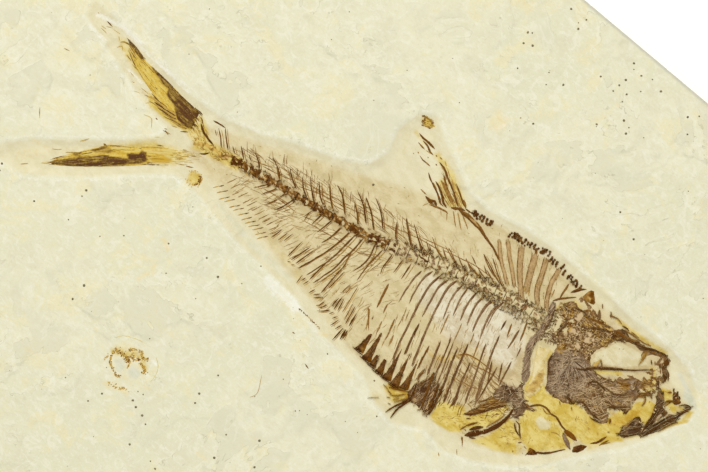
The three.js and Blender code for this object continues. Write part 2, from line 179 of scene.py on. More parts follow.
class Finish:
    """One material, written as sums of its patterns."""

    def __init__(self, name):
        self.material = bpy.data.materials.new(name)
        self.material.use_nodes = True
        self.tree = self.material.node_tree
        self.shader = self.tree.nodes["Principled BSDF"]

    def node(self, kind, settings=None, inputs=None, output=0):
        made = self.tree.nodes.new("ShaderNode" + kind)
        for name, value in (settings or {}).items():
            if name == "stops":
                self.set_stops(made.color_ramp, value)
            else:
                setattr(made, name, value)
        for name, value in (inputs or {}).items():
            self.put(made.inputs[name], value)
        return Wire(self, made.outputs[output])

    def set_stops(self, ramp, stops):
        while len(ramp.elements) < len(stops):
            ramp.elements.new(1.0)
        for element, (place, colour) in zip(ramp.elements, stops):
            element.position = place
            element.color = colour

    def put(self, socket, value):
        if isinstance(value, Wire):
            self.tree.links.new(value.socket, socket)
        else:
            socket.default_value = value

    def set(self, name, value):
        self.put(self.shader.inputs[name], value)

    def places(self, scale=(1, 1, 1)):
        """Object coordinates in millimetres, stretched by scale."""
        spot = self.node("TexCoord", output="Object")
        scale = tuple(s / MM for s in scale)
        return self.node("Mapping", inputs={"Vector": spot, "Scale": scale})

    def lay(self, scale=(1, 1, 1)):
        """Coordinates along and across a bone, in millimetres."""
        spot = self.node("Attribute", {"attribute_name": "lay"}, output="Vector")
        return self.node("Mapping", inputs={"Vector": spot, "Scale": scale})

    def channels(self, name):
        """The three values that a piece carries under a name."""
        carried = self.node("Attribute", {"attribute_name": name}, output="Vector")
        split = self.node("SeparateXYZ", inputs={"Vector": carried}).socket.node
        return [Wire(self, split.outputs[i]) for i in range(3)]

    def grain(self, where, per_mm, detail=3.0, roughness=0.55, distortion=0.0):
        return self.node("TexNoise", inputs={"Vector": where, "Scale": per_mm, "Detail": detail,
                "Roughness": roughness, "Distortion": distortion})

    def step(self, value, low, high):
        return self.node("MapRange", {"interpolation_type": "SMOOTHSTEP"}, {"Value": value, "From Min": low,
                "From Max": high})

    def mix(self, share, first, second):
        return self.node("Mix", {"data_type": "RGBA"}, {0: share, 6: first, 7: second}, output=2)

    def bump(self, height, depth, strength=1.0, below=None):
        """Raises the surface by height times depth, in millimetres."""
        inputs = {"Height": height, "Distance": depth * MM, "Strength": strength}
        if below is not None:
            inputs["Normal"] = below
        return self.node("Bump", inputs=inputs)


# ---------------------------------------------------------------- finishes


# Each stain: its darker and lighter tone, how fully it shows, how ragged its edge is,
# and the strengths between which it goes from absent to full.
STAIN_TONES = [
    ("bed", (219, 207, 164), (229, 219, 180), 0.72, 0.4, 0.15, 0.75),
    ("body", (203, 184, 132), (219, 203, 157), 0.85, 0.6, 0.2, 0.9),
    ("flesh", (172, 142, 92), (208, 185, 138), 0.75, 1.1, 0.2, 1.0),
    ("ash", (208, 194, 160), (230, 222, 196), 0.8, 1.1, 0.25, 0.9),
    ("chalk", (238, 235, 214), (247, 245, 231), 0.7, 1.5, 0.45, 0.85),
    ("warm", (234, 210, 146), (238, 224, 176), 0.6, 2.2, 0.35, 1.1),
    ("window", (202, 204, 178), (218, 217, 194), 0.9, 0.5, 0.3, 0.7),
    ("yellow", (203, 172, 58), (224, 203, 116), 0.94, 1.0, 0.2, 0.8),
    ("amber", (184, 138, 14), (212, 176, 58), 0.9, 1.1, 0.3, 0.8),
    ("pale", (216, 203, 156), (227, 218, 180), 0.88, 0.8, 0.3, 0.8),
    ("grey", (136, 114, 88), (168, 146, 116), 0.8, 1.2, 0.35, 0.85),
    ("brown", (104, 64, 10), (150, 106, 44), 0.9, 1.5, 0.35, 0.8),
]
STAIN_GROUPS = [
    ("bed", "body", "flesh"), ("yellow", "amber", "brown"), ("pale", "grey", "chalk"),
    ("ash", "warm", "window"),
]


def limestone():
    f = Finish("pale limestone")
    spots = f.places()
    broad = f.grain(spots, 0.045, 4, 0.6)
    patchy = f.grain(spots, 0.15, 5, 0.62, 0.8)
    mottled = f.grain(spots, 0.5, 5, 0.62, 1.2)
    streaky = f.grain(f.places((0.45, 1.1, 1)), 0.9, 5, 0.65, 1.6)
    fine = f.grain(spots, 2.6, 3, 0.6)
    stone = f.mix(f.step(broad, 0.4, 0.6), tone(225, 222, 190), tone(230, 226, 194))
    for pattern, low, high, share, *colour in [
        (patchy, 0.51, 0.63, 0.6, 234, 223, 176), (patchy, 0.47, 0.36, 0.5, 221, 216, 184),
        (mottled, 0.52, 0.64, 0.55, 237, 234, 210), (mottled, 0.46, 0.35, 0.35, 221, 214, 178),
        (streaky, 0.54, 0.66, 0.45, 238, 235, 214), (streaky, 0.44, 0.34, 0.4, 216, 211, 180),
        (fine, 0.58, 0.72, 0.3, 208, 200, 160), (fine, 0.42, 0.3, 0.4, 240, 237, 216),
    ]:
        stone = f.mix(f.step(pattern, low, high) * share, stone, tone(*colour))

    # Thin flakes: each level has its own tone, and where a step shows, a painted shade line and a painted
    # highlight line run along it.
    flakes = f.grain(spots, 0.05, 5, 0.6, 0.5) * FLAKE_LEVELS
    level = f.node("Math", {"operation": "FLOOR"}, {0: flakes})
    chance = f.node("TexWhiteNoise", {"noise_dimensions": "1D"}, {"W": level})
    worn = f.step(f.grain(spots, 0.08, 3, 0.6, 0.4), 0.46, 0.58)
    stone = f.mix(f.step(chance, 0.45, 0.9) * worn * 0.55, stone, tone(217, 213, 184))
    # Painted shade: a dark line along one side of each flake step.
    painted_step_shade = f.step(flakes - level, 0.07, 0.0) * f.step(mottled, 0.44, 0.54)
    stone = f.mix(painted_step_shade * worn * 0.7, stone, tone(188, 182, 150))
    # Painted highlight: a pale line along the other side of each flake step.
    stone = f.mix(f.step(flakes - level, 0.9, 0.8) * f.step(flakes - level, 0.7, 0.86) * worn * 0.35, stone,
            tone(243, 240, 220))

    # What the fish left in the stone.
    ragged = f.grain(spots, 1.1, 5, 0.68, 0.5)
    streaks = f.grain(spots, 3.2, 4, 0.65)
    edge = ragged * 0.6 + streaks * 0.4
    clouds = f.grain(f.places((0.7, 1.2, 1)), 0.55, 5, 0.66, 0.3)
    shade = clouds * 0.8 + streaks * 0.2
    carried = {}
    for group in STAIN_GROUPS:
        carried.update(zip(group, f.channels("_".join(group))))
    for name, darker, lighter, share, raggedness, low, high in STAIN_TONES:
        shown = f.step(carried[name] + (edge - 0.5) * raggedness, low, high) * share
        stone = f.mix(shown, stone, f.mix(f.step(shade, 0.4, 0.6), tone(*darker), tone(*lighter)))

    # The sawn and broken sides show the thin layers that the plate is built from.
    across = f.places((0.02, 0.02, 1))
    layers = f.grain(across, 2.2, 4, 0.7)
    side, back, arris = f.channels("side_back_arris")
    layered = f.mix(f.step(layers, 0.35, 0.65), tone(206, 196, 158), tone(231, 224, 190))
    layered = f.mix(f.step(layers, 0.6, 0.68) * 0.5, layered, tone(176, 158, 116))
    layered = f.mix(f.step(fine, 0.4, 0.7) * 0.35, layered, tone(238, 234, 210))
    stone = f.mix(f.step(side, 0.3, 0.7), stone, layered)
    # Painted shade: the face greys towards its arris, where the rounded edge turns from the light.
    stone = f.mix(f.step(arris + (mottled - 0.5) * 0.8, 0.4, 0.9) * 0.7, stone, tone(203, 200, 182))
    saw = f.grain(f.places((0.03, 1, 1)), 2.0, 3, 0.6)
    sawn = f.mix(f.step(saw, 0.35, 0.65), tone(214, 207, 172), tone(230, 225, 194))
    stone = f.mix(f.step(back, 0.3, 0.7), stone, sawn)
    f.set("Base Color", stone)
    f.set("Roughness", 0.84 - carried["bed"] * 0.1 + (fine - 0.5) * 0.1)

    lumps = f.bump(patchy * 0.6 + mottled * 0.4, 0.3, 0.5)
    crumbs = f.bump(fine, 0.08, 0.5, lumps)
    f.set("Normal", f.bump((level + f.step(flakes - level, 0.8, 1.0)) * worn, 0.05, 0.7, crumbs))
    f.shader.inputs["Specular IOR Level"].default_value = 0.3
    return f.material


def bone(name, darkest, middle, lightest, gloss=0.45):
    """Mineral bone, read along its own length: how dark it is, and where it has worn off the stone."""
    f = Finish(name)
    ink, greyness, gold = f.channels("ink")
    cover = f.channels("lay")[2]
    ground = f.node("Attribute", {"attribute_name": "ground"}, output="Vector")
    fibre = f.grain(f.lay((0.8, 6, 0)), 1.0, 4, 0.62)
    cloud = f.grain(f.places(), 0.9, 4, 0.65)
    fleck = f.grain(f.places(), 3.4, 4, 0.7)
    depth = ink + (fibre - 0.5) * 0.9 + (cloud - 0.5) * 0.6 + (fleck - 0.5) * 0.8
    colour = f.node("ValToRGB", {"stops": [(0.0, tone(*lightest)), (0.5, tone(*middle)), (1.0,
            tone(*darkest))]}, {"Fac": depth})
    purple = f.mix(f.step(depth, 0.1, 0.9), tone(176, 154, 128), tone(92, 66, 44))
    colour = f.mix(greyness * 0.85, colour, purple)
    golden = f.mix(f.step(depth, 0.0, 0.9), tone(208, 172, 84), tone(120, 70, 0))
    colour = f.mix(f.step(gold + (cloud - 0.5) * 0.9, 0.2, 0.8) * 0.85, colour, golden)
    # Painted highlights: pale glint flecks scattered over the bone.
    colour = f.mix(f.step(fleck, 0.62, 0.74) * 0.5, colour, tone(214, 190, 142))
    shown = f.step(cover + (fleck - 0.5) * 1.1 + (cloud - 0.5) * 0.5, 0.3, 0.6)
    f.set("Base Color", f.mix(shown, ground, colour))
    f.set("Roughness", gloss + (fleck - 0.5) * 0.4)
    ridges = f.bump(fibre, 0.05, 0.5)
    f.set("Normal", f.bump(fleck, 0.04, 0.5, ridges))
    f.shader.inputs["Specular IOR Level"].default_value = 0.06
    return f.material


def speck_finish():
    f = Finish("dark specks")
    grain = f.grain(f.places(), 3.0, 3, 0.6)
    f.set("Base Color", f.mix(f.step(grain, 0.35, 0.65), tone(92, 80, 48), tone(140, 124, 84)))
    f.set("Roughness", 0.6 + (grain - 0.5) * 0.3)
    return f.material


FLAKE_LEVELS = 11.0
FINISHES = {
    "limestone": limestone(), "brown_bone": bone("brown bone", (80, 42, 0), (138, 95, 38), (202, 170, 112)),
    "skull_bone": bone("crushed skull bone", (80, 48, 8), (136, 102, 60), (204, 178, 134)),
    "pale_bone": bone("cream bone", (170, 134, 70), (218, 196, 130), (230, 216, 168), 0.55),
    "amber_film": bone("amber fin film", (90, 50, 14), (206, 170, 56), (226, 206, 118), 0.5),
    "specks": speck_finish(),
}

# ---------------------------------------------------------------- mesh writing


def carry(mesh, label, values):
    """Gives each point of a mesh three values under a name."""
    layer = mesh.attributes.new(label, "FLOAT_VECTOR", "POINT")
    layer.data.foreach_set("vector", np.array(values, dtype=float).ravel())


def place(mesh, finish, slot, *nodes):
    """Stands a finished mesh in the scene as one piece of the part."""
    mesh.materials.append(FINISHES[finish])
    mesh.shade_smooth()
    made = bpy.data.objects.new(mesh.name, mesh)
    bpy.context.scene.collection.objects.link(made)
    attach(made, "root")
    if nodes:
        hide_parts(*nodes)


class Heap:
    """The points and faces of one piece while it is being shaped."""

    def __init__(self):
        self.points = []
        self.faces = []
        self.carried = {"lay": [], "ink": []}

    def add(self, points, faces, lay, ink):
        start = len(self.points)
        self.points += points
        self.faces += [tuple(start + i for i in face) for face in faces]
        self.carried["lay"] += lay
        self.carried["ink"] += [ink] * len(points) if isinstance(ink, tuple) else ink

    def piece(self, name, slot, *nodes, finish=None):
        mesh = bpy.data.meshes.new(name)
        mesh.from_pydata([Vector(p) * MM for p in self.points], [], self.faces)
        places = np.array(self.points)
        self.carried["ground"] = ground_tones(np.stack(to_fish(places[:, 0], places[:, 1]), axis=1))
        for label, values in self.carried.items():
            carry(mesh, label, values)
        place(mesh, finish or slot, slot, *nodes)


def smooth_line(points, spacing):
    """Evenly spaced points on a curve through the given ones."""
    corners = [np.array(p, dtype=float) for p in points]
    if len(corners) == 2:
        count = max(2, round(np.linalg.norm(corners[1] - corners[0]) / spacing))
        return [corners[0] + (corners[1] - corners[0]) * i / count for i in range(count + 1)]
    padded = [2 * corners[0] - corners[1], *corners, 2 * corners[-1] - corners[-2]]
    line = []
    for a, b, c, d in zip(padded, padded[1:], padded[2:], padded[3:]):
        count = max(1, round(np.linalg.norm(c - b) / spacing))
        for i in range(count):
            t = i / count
            line.append(0.5 * (2 * b + (c - a) * t + (2 * a - 5 * b + 4 * c - d) * t**2 + (3 * b - a - 3 * c
                    + d) * t**3))
    return [*line, corners[-1]]


def sheet(rows, columns):
    """The faces of a grid of points, and the run of its rim."""
    corners = (j * columns + i for j in range(rows - 1) for i in range(columns - 1))
    faces = [(a, a + 1, a + columns + 1, a + columns) for a in corners]
    rim = list(range(columns)) + [j * columns + columns - 1 for j in range(1, rows)]
    rim += [(rows - 1) * columns + i for i in range(columns - 2, -1, -1)]
    return faces, rim + [j * columns for j in range(rows - 2, 0, -1)]


def hoop(lower, upper):
    """The faces between two rings of points."""
    return list(zip(lower, lower[1:] + lower[:1], upper[1:] + upper[:1], upper))


def skirt(made, lay, inks, rim, drop):
    """Closes a sheet from below: a wall down from its rim, and a floor."""
    floor = {index: len(made) + n for n, index in enumerate(rim)}
    for index in rim:
        px, py, pz = made[index]
        made.append((px, py, pz - drop))
        lay.append(lay[index])
        inks.append(inks[index])
    walls = [(a, floor[a], floor[b], b) for a, b in zip(rim, rim[1:] + rim[:1])]
    return [*walls, tuple(floor[i] for i in reversed(rim))]


# ---------------------------------------------------------------- the stone plate

FINE_STEP = 0.4
COARSE_STEP = 1.0
FINE_X = (-62.0, 63.0)
FINE_Y = (-22.0, 36.0)


def stations(low, fine_low, fine_high, high):
    def run(a, b, step):
        return np.linspace(a, b, max(1, round((b - a) / step)), endpoint=False)
    return np.concatenate([run(low, fine_low, COARSE_STEP), run(fine_low, fine_high, FINE_STEP),
            run(fine_high, high, COARSE_STEP), [high]])


COLUMNS = stations(LEFT, *FINE_X, RIGHT)
ROWS = stations(BOTTOM, *FINE_Y, TOP)
GRID_X, GRID_Y = np.meshgrid(COLUMNS, ROWS)
GRID = np.stack([GRID_X.ravel(), GRID_Y.ravel()], axis=1)
GRID_FISH = np.stack(to_fish(GRID[:, 0], GRID[:, 1]), axis=1)
BED_REACH = reach(GRID_FISH, BED)


def face_heights():
    """The split face: low swells, and the bed scraped out round the fish."""
    swell = np.array([rough(x, y, 34, 3, 2.0) for x, y in GRID])
    lumps = np.array([rough(x, y, 5.5, 4, 7.0) for x, y in GRID])
    pits = np.array([rough(x, y, 1.3, 3, 11.0) for x, y in GRID])
    heights = FACE - 0.12 + 0.1 * swell + 0.05 * lumps + 0.02 * pits
    scraped = ease(-0.5, 1.6, BED_REACH + 0.35 * lumps)
    return heights - scraped * (BED_DEPTH + 0.03 * pits)


HEIGHTS = face_heights().reshape(GRID_X.shape)


def surface(x, y):
    """Height of the stone at a place in the fish frame."""
    px, py = to_plate(x, y)
    i = min(max(int(np.searchsorted(COLUMNS, px)) - 1, 0), len(COLUMNS) - 2)
    j = min(max(int(np.searchsorted(ROWS, py)) - 1, 0), len(ROWS) - 2)
    u = (px - COLUMNS[i]) / (COLUMNS[i + 1] - COLUMNS[i])
    v = (py - ROWS[j]) / (ROWS[j + 1] - ROWS[j])
    near = HEIGHTS[j, i] * (1 - u) + HEIGHTS[j, i + 1] * u
    far = HEIGHTS[j + 1, i] * (1 - u) + HEIGHTS[j + 1, i + 1] * u
    return near * (1 - v) + far * v


# Each stain: its strength, the softness of its edge, its width along a line or 0 for an outline, and the
# line's x and y in turn, in the fish frame.
STAINS = {
    "flesh": [
        (0.7, 2.0, 0, 20, -2, 30, 0, 35, -2, 36.6, -8, 34, -13, 30, -16.5, 25, -17, 20, -14),
        (0.6, 1.0, 0, -22, -1, 0, -1, 12, 0, 12, 4, 0, 3.4, -22, 2.4),
        (0.42, 1.6, 0, 20, 14, 38, 12.5, 36, 6, 30, 5, 21, 6),
        (0.5, 1.0, 0, 36, 8, 40, 10, 54, 9, 57, 5, 54, 0, 40, 0),
    ],
    "yellow": [
        (1.0, 0.6, 0, 45.5, -5.4, 48, -6, 51, -6.6, 53, -3.2, 54.8, -3.6, 54.9, -6.6, 56.2, -7, 53.5, -9,
         51, -10.8, 46, -10.4, 40, -9.4, 38.4, -7, 41, -6.6),
        (0.85, 0.8, 0, 39, -10.3, 42.5, -9, 46, -10.4, 48.8, -11.2, 48.4, -13.2, 43, -16.8, 40.6, -15.2,
         39, -12.9), (1.2, 0.3, 0, 54.3, -2.1, 54.6, -0.6, 56.4, 0.9, 57.6, 0.6, 57.7, -2.3, 56, -2.6),
        (1.0, 0.3, 0, 52.6, -3.4, 54.4, -1.4, 55.6, -0.2, 57.8, 1, 57.9, -3, 56, -3, 55, -5, 53, -5.4),
        (0.75, 0.6, 0.9, 45, 9.8, 48, 9.4, 51, 9.2, 54.6, 9.1), (0.6, 0.6, 0.9, 37.4, 9, 38.6, 8.6),
        (0.7, 0.5, 0.6, 42.6, 8.5, 43.6, 8.4), (0.6, 0.6, 1.2, 35.6, 6.6, 37, 8, 38, 8.4),
        (0.6, 0.6, 1.4, 54.2, 5.6, 55.8, 3, 55, 1), (0.8, 0.4, 0.7, 60.4, -2.2, 61.6, -0.6, 63.4, 1),
        (1.1, 0.3, 0, 57.4, 3.5, 58.6, 4.2, 59.2, 3.6, 59.2, 2.8, 58, 2.6),
        (0.8, 0.4, 0, 60.9, 2.5, 62, 3, 62.2, 2.2, 61.4, 1.8),
        (0.75, 0.5, 0, 62.6, 2.8, 63.9, 3, 63.6, 1.2, 62.4, 0.3),
        (0.9, 0.6, 0, 26, -16.8, 30, -15.3, 31.4, -16.8, 32, -19.2, 30.4, -20.3, 27, -20.3, 25.9, -19.6),
        (0.85, 0.5, 0, 36.8, -11.4, 36.4, -14, 34.6, -17.2, 31.3, -18.9, 31.2, -16.8, 33.4, -14.6,
         35.4, -12.4),
        (0.8, 0.7, 0, 37.4, -13.4, 38.8, -13.4, 41.8, -16, 42, -18, 38, -19.4, 33.6, -20, 36, -17.5),
        (0.34, 1.6, 0, 22, -18.4, 18, -18.2, 13, -21.4, 15.5, -22.8, 20, -23.2, 21.5, -21),
        (0.8, 0.9, 0, 21.8, -18, 19.2, -17.7, 17, -18.5, 16.6, -19.4, 18.4, -20.6, 19.8, -21, 21.2, -19.6),
        (0.34, 1.2, 2.2, -12, -7.6, -6, -9.8, -1, -12.2, 3, -14, 6, -16.4),
        (0.32, 1.0, 1.8, -24, -4.6, -18, -6.4, -12, -8),
        (0.66, 0.6, 0, -31, -1, -31, 2, -22, 2.1, -22, -0.6),
        (0.6, 0.8, 0, -51.5, 9.8, -48.6, 9.4, -44, 7.8, -41, 4.4, -44.6, 4.8, -49.4, 7.4),
        (0.3, 1.4, 0, -57, -15.8, -52, -12.2, -46, -9, -46.6, -12, -52, -16.4, -56, -17.8),
        (0.7, 0.4, 2.6, -27.9, -5, -27.8, -5), (0.55, 0.5, 1.4, 0.4, 22.8, 2, 22.4),
        (0.6, 0.7, 1.8, -25, -36.3, -23, -36, -21, -35, -19.2, -36.4),
        (0.45, 0.6, 1.0, -24.8, -38.4, -22.6, -39.6),
        (0.6, 0.6, 0, -32.8, 5.2, -31.2, 4.6, -28.6, 2.2, -30, -0.6, -33, 0.6),
        (0.85, 0.5, 0, -42, 3.9, -38, 3, -33, 2.6, -32.6, 1, -36, 0.8, -40.4, 1.7),
        (0.65, 1.2, 0, -31, -1.4, -37, -2.6, -43, -7, -45, -8.8, -50, -14.4, -51.4, -15.6, -45, -12.4,
         -36, -7.2, -32, -5.2, -30, -3),
        (0.9, 0.5, 0, 37, -5.4, 38.6, -4.6, 40.8, -6.4, 41, -9, 38.6, -9.6, 37.2, -8),
        (0.9, 0.6, 0, 38.3, 0.2, 38.2, -2.4, 39.2, -4, 38.4, -5.4, 37.4, -3.5, 37.3, -1),
        (0.72, 1.0, 1.5, 5.4, 18.5, 7.4, 17.8, 9, 16.9, 11, 15.3, 13.2, 13.6),
        (0.62, 0.6, 0, 8, 16.4, 12.6, 13, 12.4, 12.2, 10.8, 12, 7.2, 14.4),
        (0.6, 0.6, 0.8, 0.2, 20.2, 1.4, 19.7, 2.4, 19.3), (0.35, 1.0, 1.2, -1, 19, 0.5, 15.5),
        (0.9, 0.5, 1.2, 57.6, 3.4, 59.2, 2.4, 60.6, 1.6), (0.6, 0.8, 1.0, 57.9, -4.9, 55, -7.4, 51.5, -11),
        (0.8, 0.5, 0.8, 46, 0.4, 50, 2.4), (0.35, 1.0, 2.0, 28, -7.4, 34, -10.6, 36, -10.8),
    ],
    "amber": [
        (0.66, 0.8, 0, 19.9, -10, 22, -10.2, 24, -9.2, 26, -8, 25.4, -9.4, 23.4, -11, 20.4, -11.2),
        (0.9, 0.6, 0, -36.4, -5.4, -34, -4.2, -32.2, -4.1, -33.4, -5.4, -35.4, -6.4),
        (0.6, 0.6, 1.4, -42.6, 6, -39.4, 5, -37.4, 4), (0.62, 0.8, 1.6, 52, -5.8, 54, -5, 55.6, -1.6),
        (0.5, 0.8, 1.0, -43, 3.2, -38, 2.6, -33, 2), (0.5, 0.8, 1.0, 33.5, -19, 37, -18, 40, -18.2),
        (0.55, 0.6, 0.9, 45.5, -5.8, 47.5, -6.6, 51, -7.4),
        (0.45, 0.6, 0.9, 55, -1.4, 57.4, -0.6, 57.2, -2.2), (0.7, 0.5, 0.7, 9.6, 16.1, 11.4, 14.8, 13, 13.5),
        (0.6, 0.5, 1.0, 51.6, -3.9, 53.6, -4.2), (0.6, 0.6, 0.9, 46, -7.2, 50.6, -8.4),
        (0.8, 0.5, 0.8, 17.5, -18.4, 20.6, -18.4, 21.6, -19.6),
        (0.7, 0.4, 0.6, 24.8, -8.6, 26.6, -7.7, 28.6, -7.6), (0.55, 0.5, 0.9, 32, -10.8, 34.6, -10.6),
    ],
    "brown": [
        (0.8, 0.8, 1.6, 22, -16, 24.6, -16, 25.4, -18),
        (0.55, 0.8, 1.0, 9, -16.4, 13, -17.4, 18, -18.4, 21, -17.6),
    ],
    "ash": [
        (0.95, 2.0, 0, 13, 0.6, 22, 2, 31, 3, 34, -1, 34, -7, 28, -6, 22, -7, 14, -4),
        (0.8, 0.6, 0, 36, -0.4, 36.8, -3.6, 37.2, -5, 37.6, -4.4, 37.4, -1),
    ],
    "chalk": [
        (0.56, 1.2, 0, -12, -12.7, -8.6, -12.9, -4.6, -13, -2.2, -13.8, -1.8, -15, -3, -16.4, -6.2, -16.6,
         -9, -15.2, -12.6, -14.8), (0.95, 1.1, 2.2, -8.6, -13.6, -5, -14.2, -2.4, -15.2),
        (1.1, 0.9, 1.0, -55.4, 10.6, -51, 11, -47, 10), (1.0, 0.9, 0.8, -55.6, 8.4, -52, 7.4),
        (1.0, 0.7, 0.7, -47, 9.6, -42, 8.5, -36, 7), (0.9, 0.6, 0.7, -47, 5.4, -43.4, 4.4),
        (0.7, 0.6, 0.5, -44, 2, -40, 4), (0.9, 0.6, 0.8, 4, -24, 5, -22.4),
        (1.2, 0.6, 0.8, 12, 27.8, 12.4, 28.4), (1.0, 0.5, 0.8, -18.6, -34.6, -17.8, -35.2),
        (0.9, 0.6, 0.6, 56, 10, 58, 9.2),
    ],
    "warm": [
        (1.0, 1.2, 0, 9.5, 30.5, 13.4, 30, 12.6, 26.4, 9.6, 26.8),
        (1.0, 0.9, 1.0, -29, -20.6, -26.4, -20.2, -26, -22, -27.6, -24),
        (1.0, 0.8, 1.2, -27.2, -16.4, -25.8, -17.4), (0.9, 1.4, 2.0, 4, 47.6, 6.4, 47),
        (1.0, 0.8, 1.4, -23.6, -41.8, -19.6, -41.4), (1.0, 0.7, 1.0, -18.2, -44.6, -17, -44),
        (1.0, 0.7, 1.0, -18.2, -39.6, -16.6, -38.8), (1.0, 0.7, 0.8, -4.6, -44.2, -2.6, -44.8),
        (0.8, 1.2, 1.6, 27, 41, 26, 38, 25, 36), (0.8, 1.0, 1.6, -38, -43, -36.6, -44),
        (0.8, 1.0, 1.2, -55, -12.8, -51.4, -13), (0.9, 0.8, 1.0, -43, 2.2, -40.4, 2),
        (1.1, 0.6, 0.8, 3, -17, 4.2, -16.6), (0.7, 1.6, 8.0, -22, -37, -22, -37.2),
    ],
    "window": [
        (0.46, 0.9, 0, -25, -6.4, -20, -8.6, -14, -10.9, -9, -12, -4.6, -12.6, -5, -10.8, -10, -9.4,
         -16, -7.8, -22, -5.9),
        (0.62, 0.4, 0, 58.4, 7.8, 61, 6.2, 63.2, 4.8, 64.2, 3.4, 63, 3, 60.8, 3.8, 60.2, 5.4, 57.8, 7),
        (0.6, 0.4, 0, -24.8, -37, -22.6, -36.8, -21.9, -37.6, -22, -39.2, -22.9, -39.6, -24, -38.8),
        (0.6, 0.4, 0, -21.5, -37, -20, -36.6, -19, -37.4, -19.2, -38.8, -20.6, -39.6, -21.6, -39),
    ],
    "pale": [
        (0.9, 0.7, 0, 41.6, -10.4, 44, -10.4, 44.6, -11.6, 43, -12.6, 41.6, -11.8),
        (0.9, 0.3, 0, 45.2, 1.6, 44.6, 3.2, 46, 5.2, 47, 6.8, 51, 7.2, 53.2, 5.8, 50, 3.6),
        (0.9, 0.4, 0, 35.6, -0.2, 37.6, -0.4, 37.4, -4, 36.8, -4.4),
        (0.7, 0.5, 0.8, 42.6, -16.2, 40.8, -16, 41.6, -17.6),
    ],
    "grey": [
        (0.7, 0.8, 0, 34.5, -8, 36.5, -7.6, 38.6, -9.6, 37, -12.6, 34, -10.6),
        (0.5, 1.2, 0, 20.4, -13, 23, -12, 25.6, -14.6, 25.6, -17, 21, -17),
    ],
}


def stain_field(points, name):
    field = np.zeros(len(points))
    for strength, soft, width, *line in STAINS[name]:
        shape = path(*line)
        depth = band(points, shape, width) if width else reach(points, shape)
        field = np.maximum(field, strength * ease(-soft, soft, depth))
    return field


def stains_at(points):
    """How strongly each stain shows at places in the fish frame."""
    found = {name: stain_field(points, name) for name in STAINS}
    inside = reach(points, BED)
    found["bed"] = ease(-0.5, 0.8, inside)
    found["body"] = ease(-1.5, 1.5, reach(points, BODY))
    found["chalk"] = np.maximum(found["chalk"], 0.6 * (1 - ease(0.0, 1.1, np.abs(inside + 0.5))))
    return found


def ground_tones(points):
    """The mean colour of the stone under each place."""
    found = stains_at(points)
    colour = np.tile(tone(229, 226, 195)[:3], (len(points), 1))
    for name, darker, lighter, share, _, low, high in STAIN_TONES:
        stain = (np.array(tone(*darker)[:3]) + np.array(tone(*lighter)[:3])) / 2
        part = (share * ease(low, high, found[name]))[:, None]
        colour = colour * (1 - part) + stain * part
    return colour


WALL_DROPS = [0.12, 0.35, 0.8, 1.8, 3.2, 4.6, 6.0, 7.4, 8.8, 10.4, 11.3]


def outline_shift(x, y):
    """How far the plate's sawn outline runs inside its box, at a place on its rim."""
    inward_x = 0.2 * noise.noise((y / 40, 3.0, 0.0)) + 0.25
    inward_y = 0.05 * noise.noise((x / 45, 8.0, 0.0)) + 0.08
    knocked = max(0.0, 5.2 - (RIGHT - x)) * max(0.0, 5.2 - (y - BOTTOM)) / 9
    return inward_x, inward_y, knocked


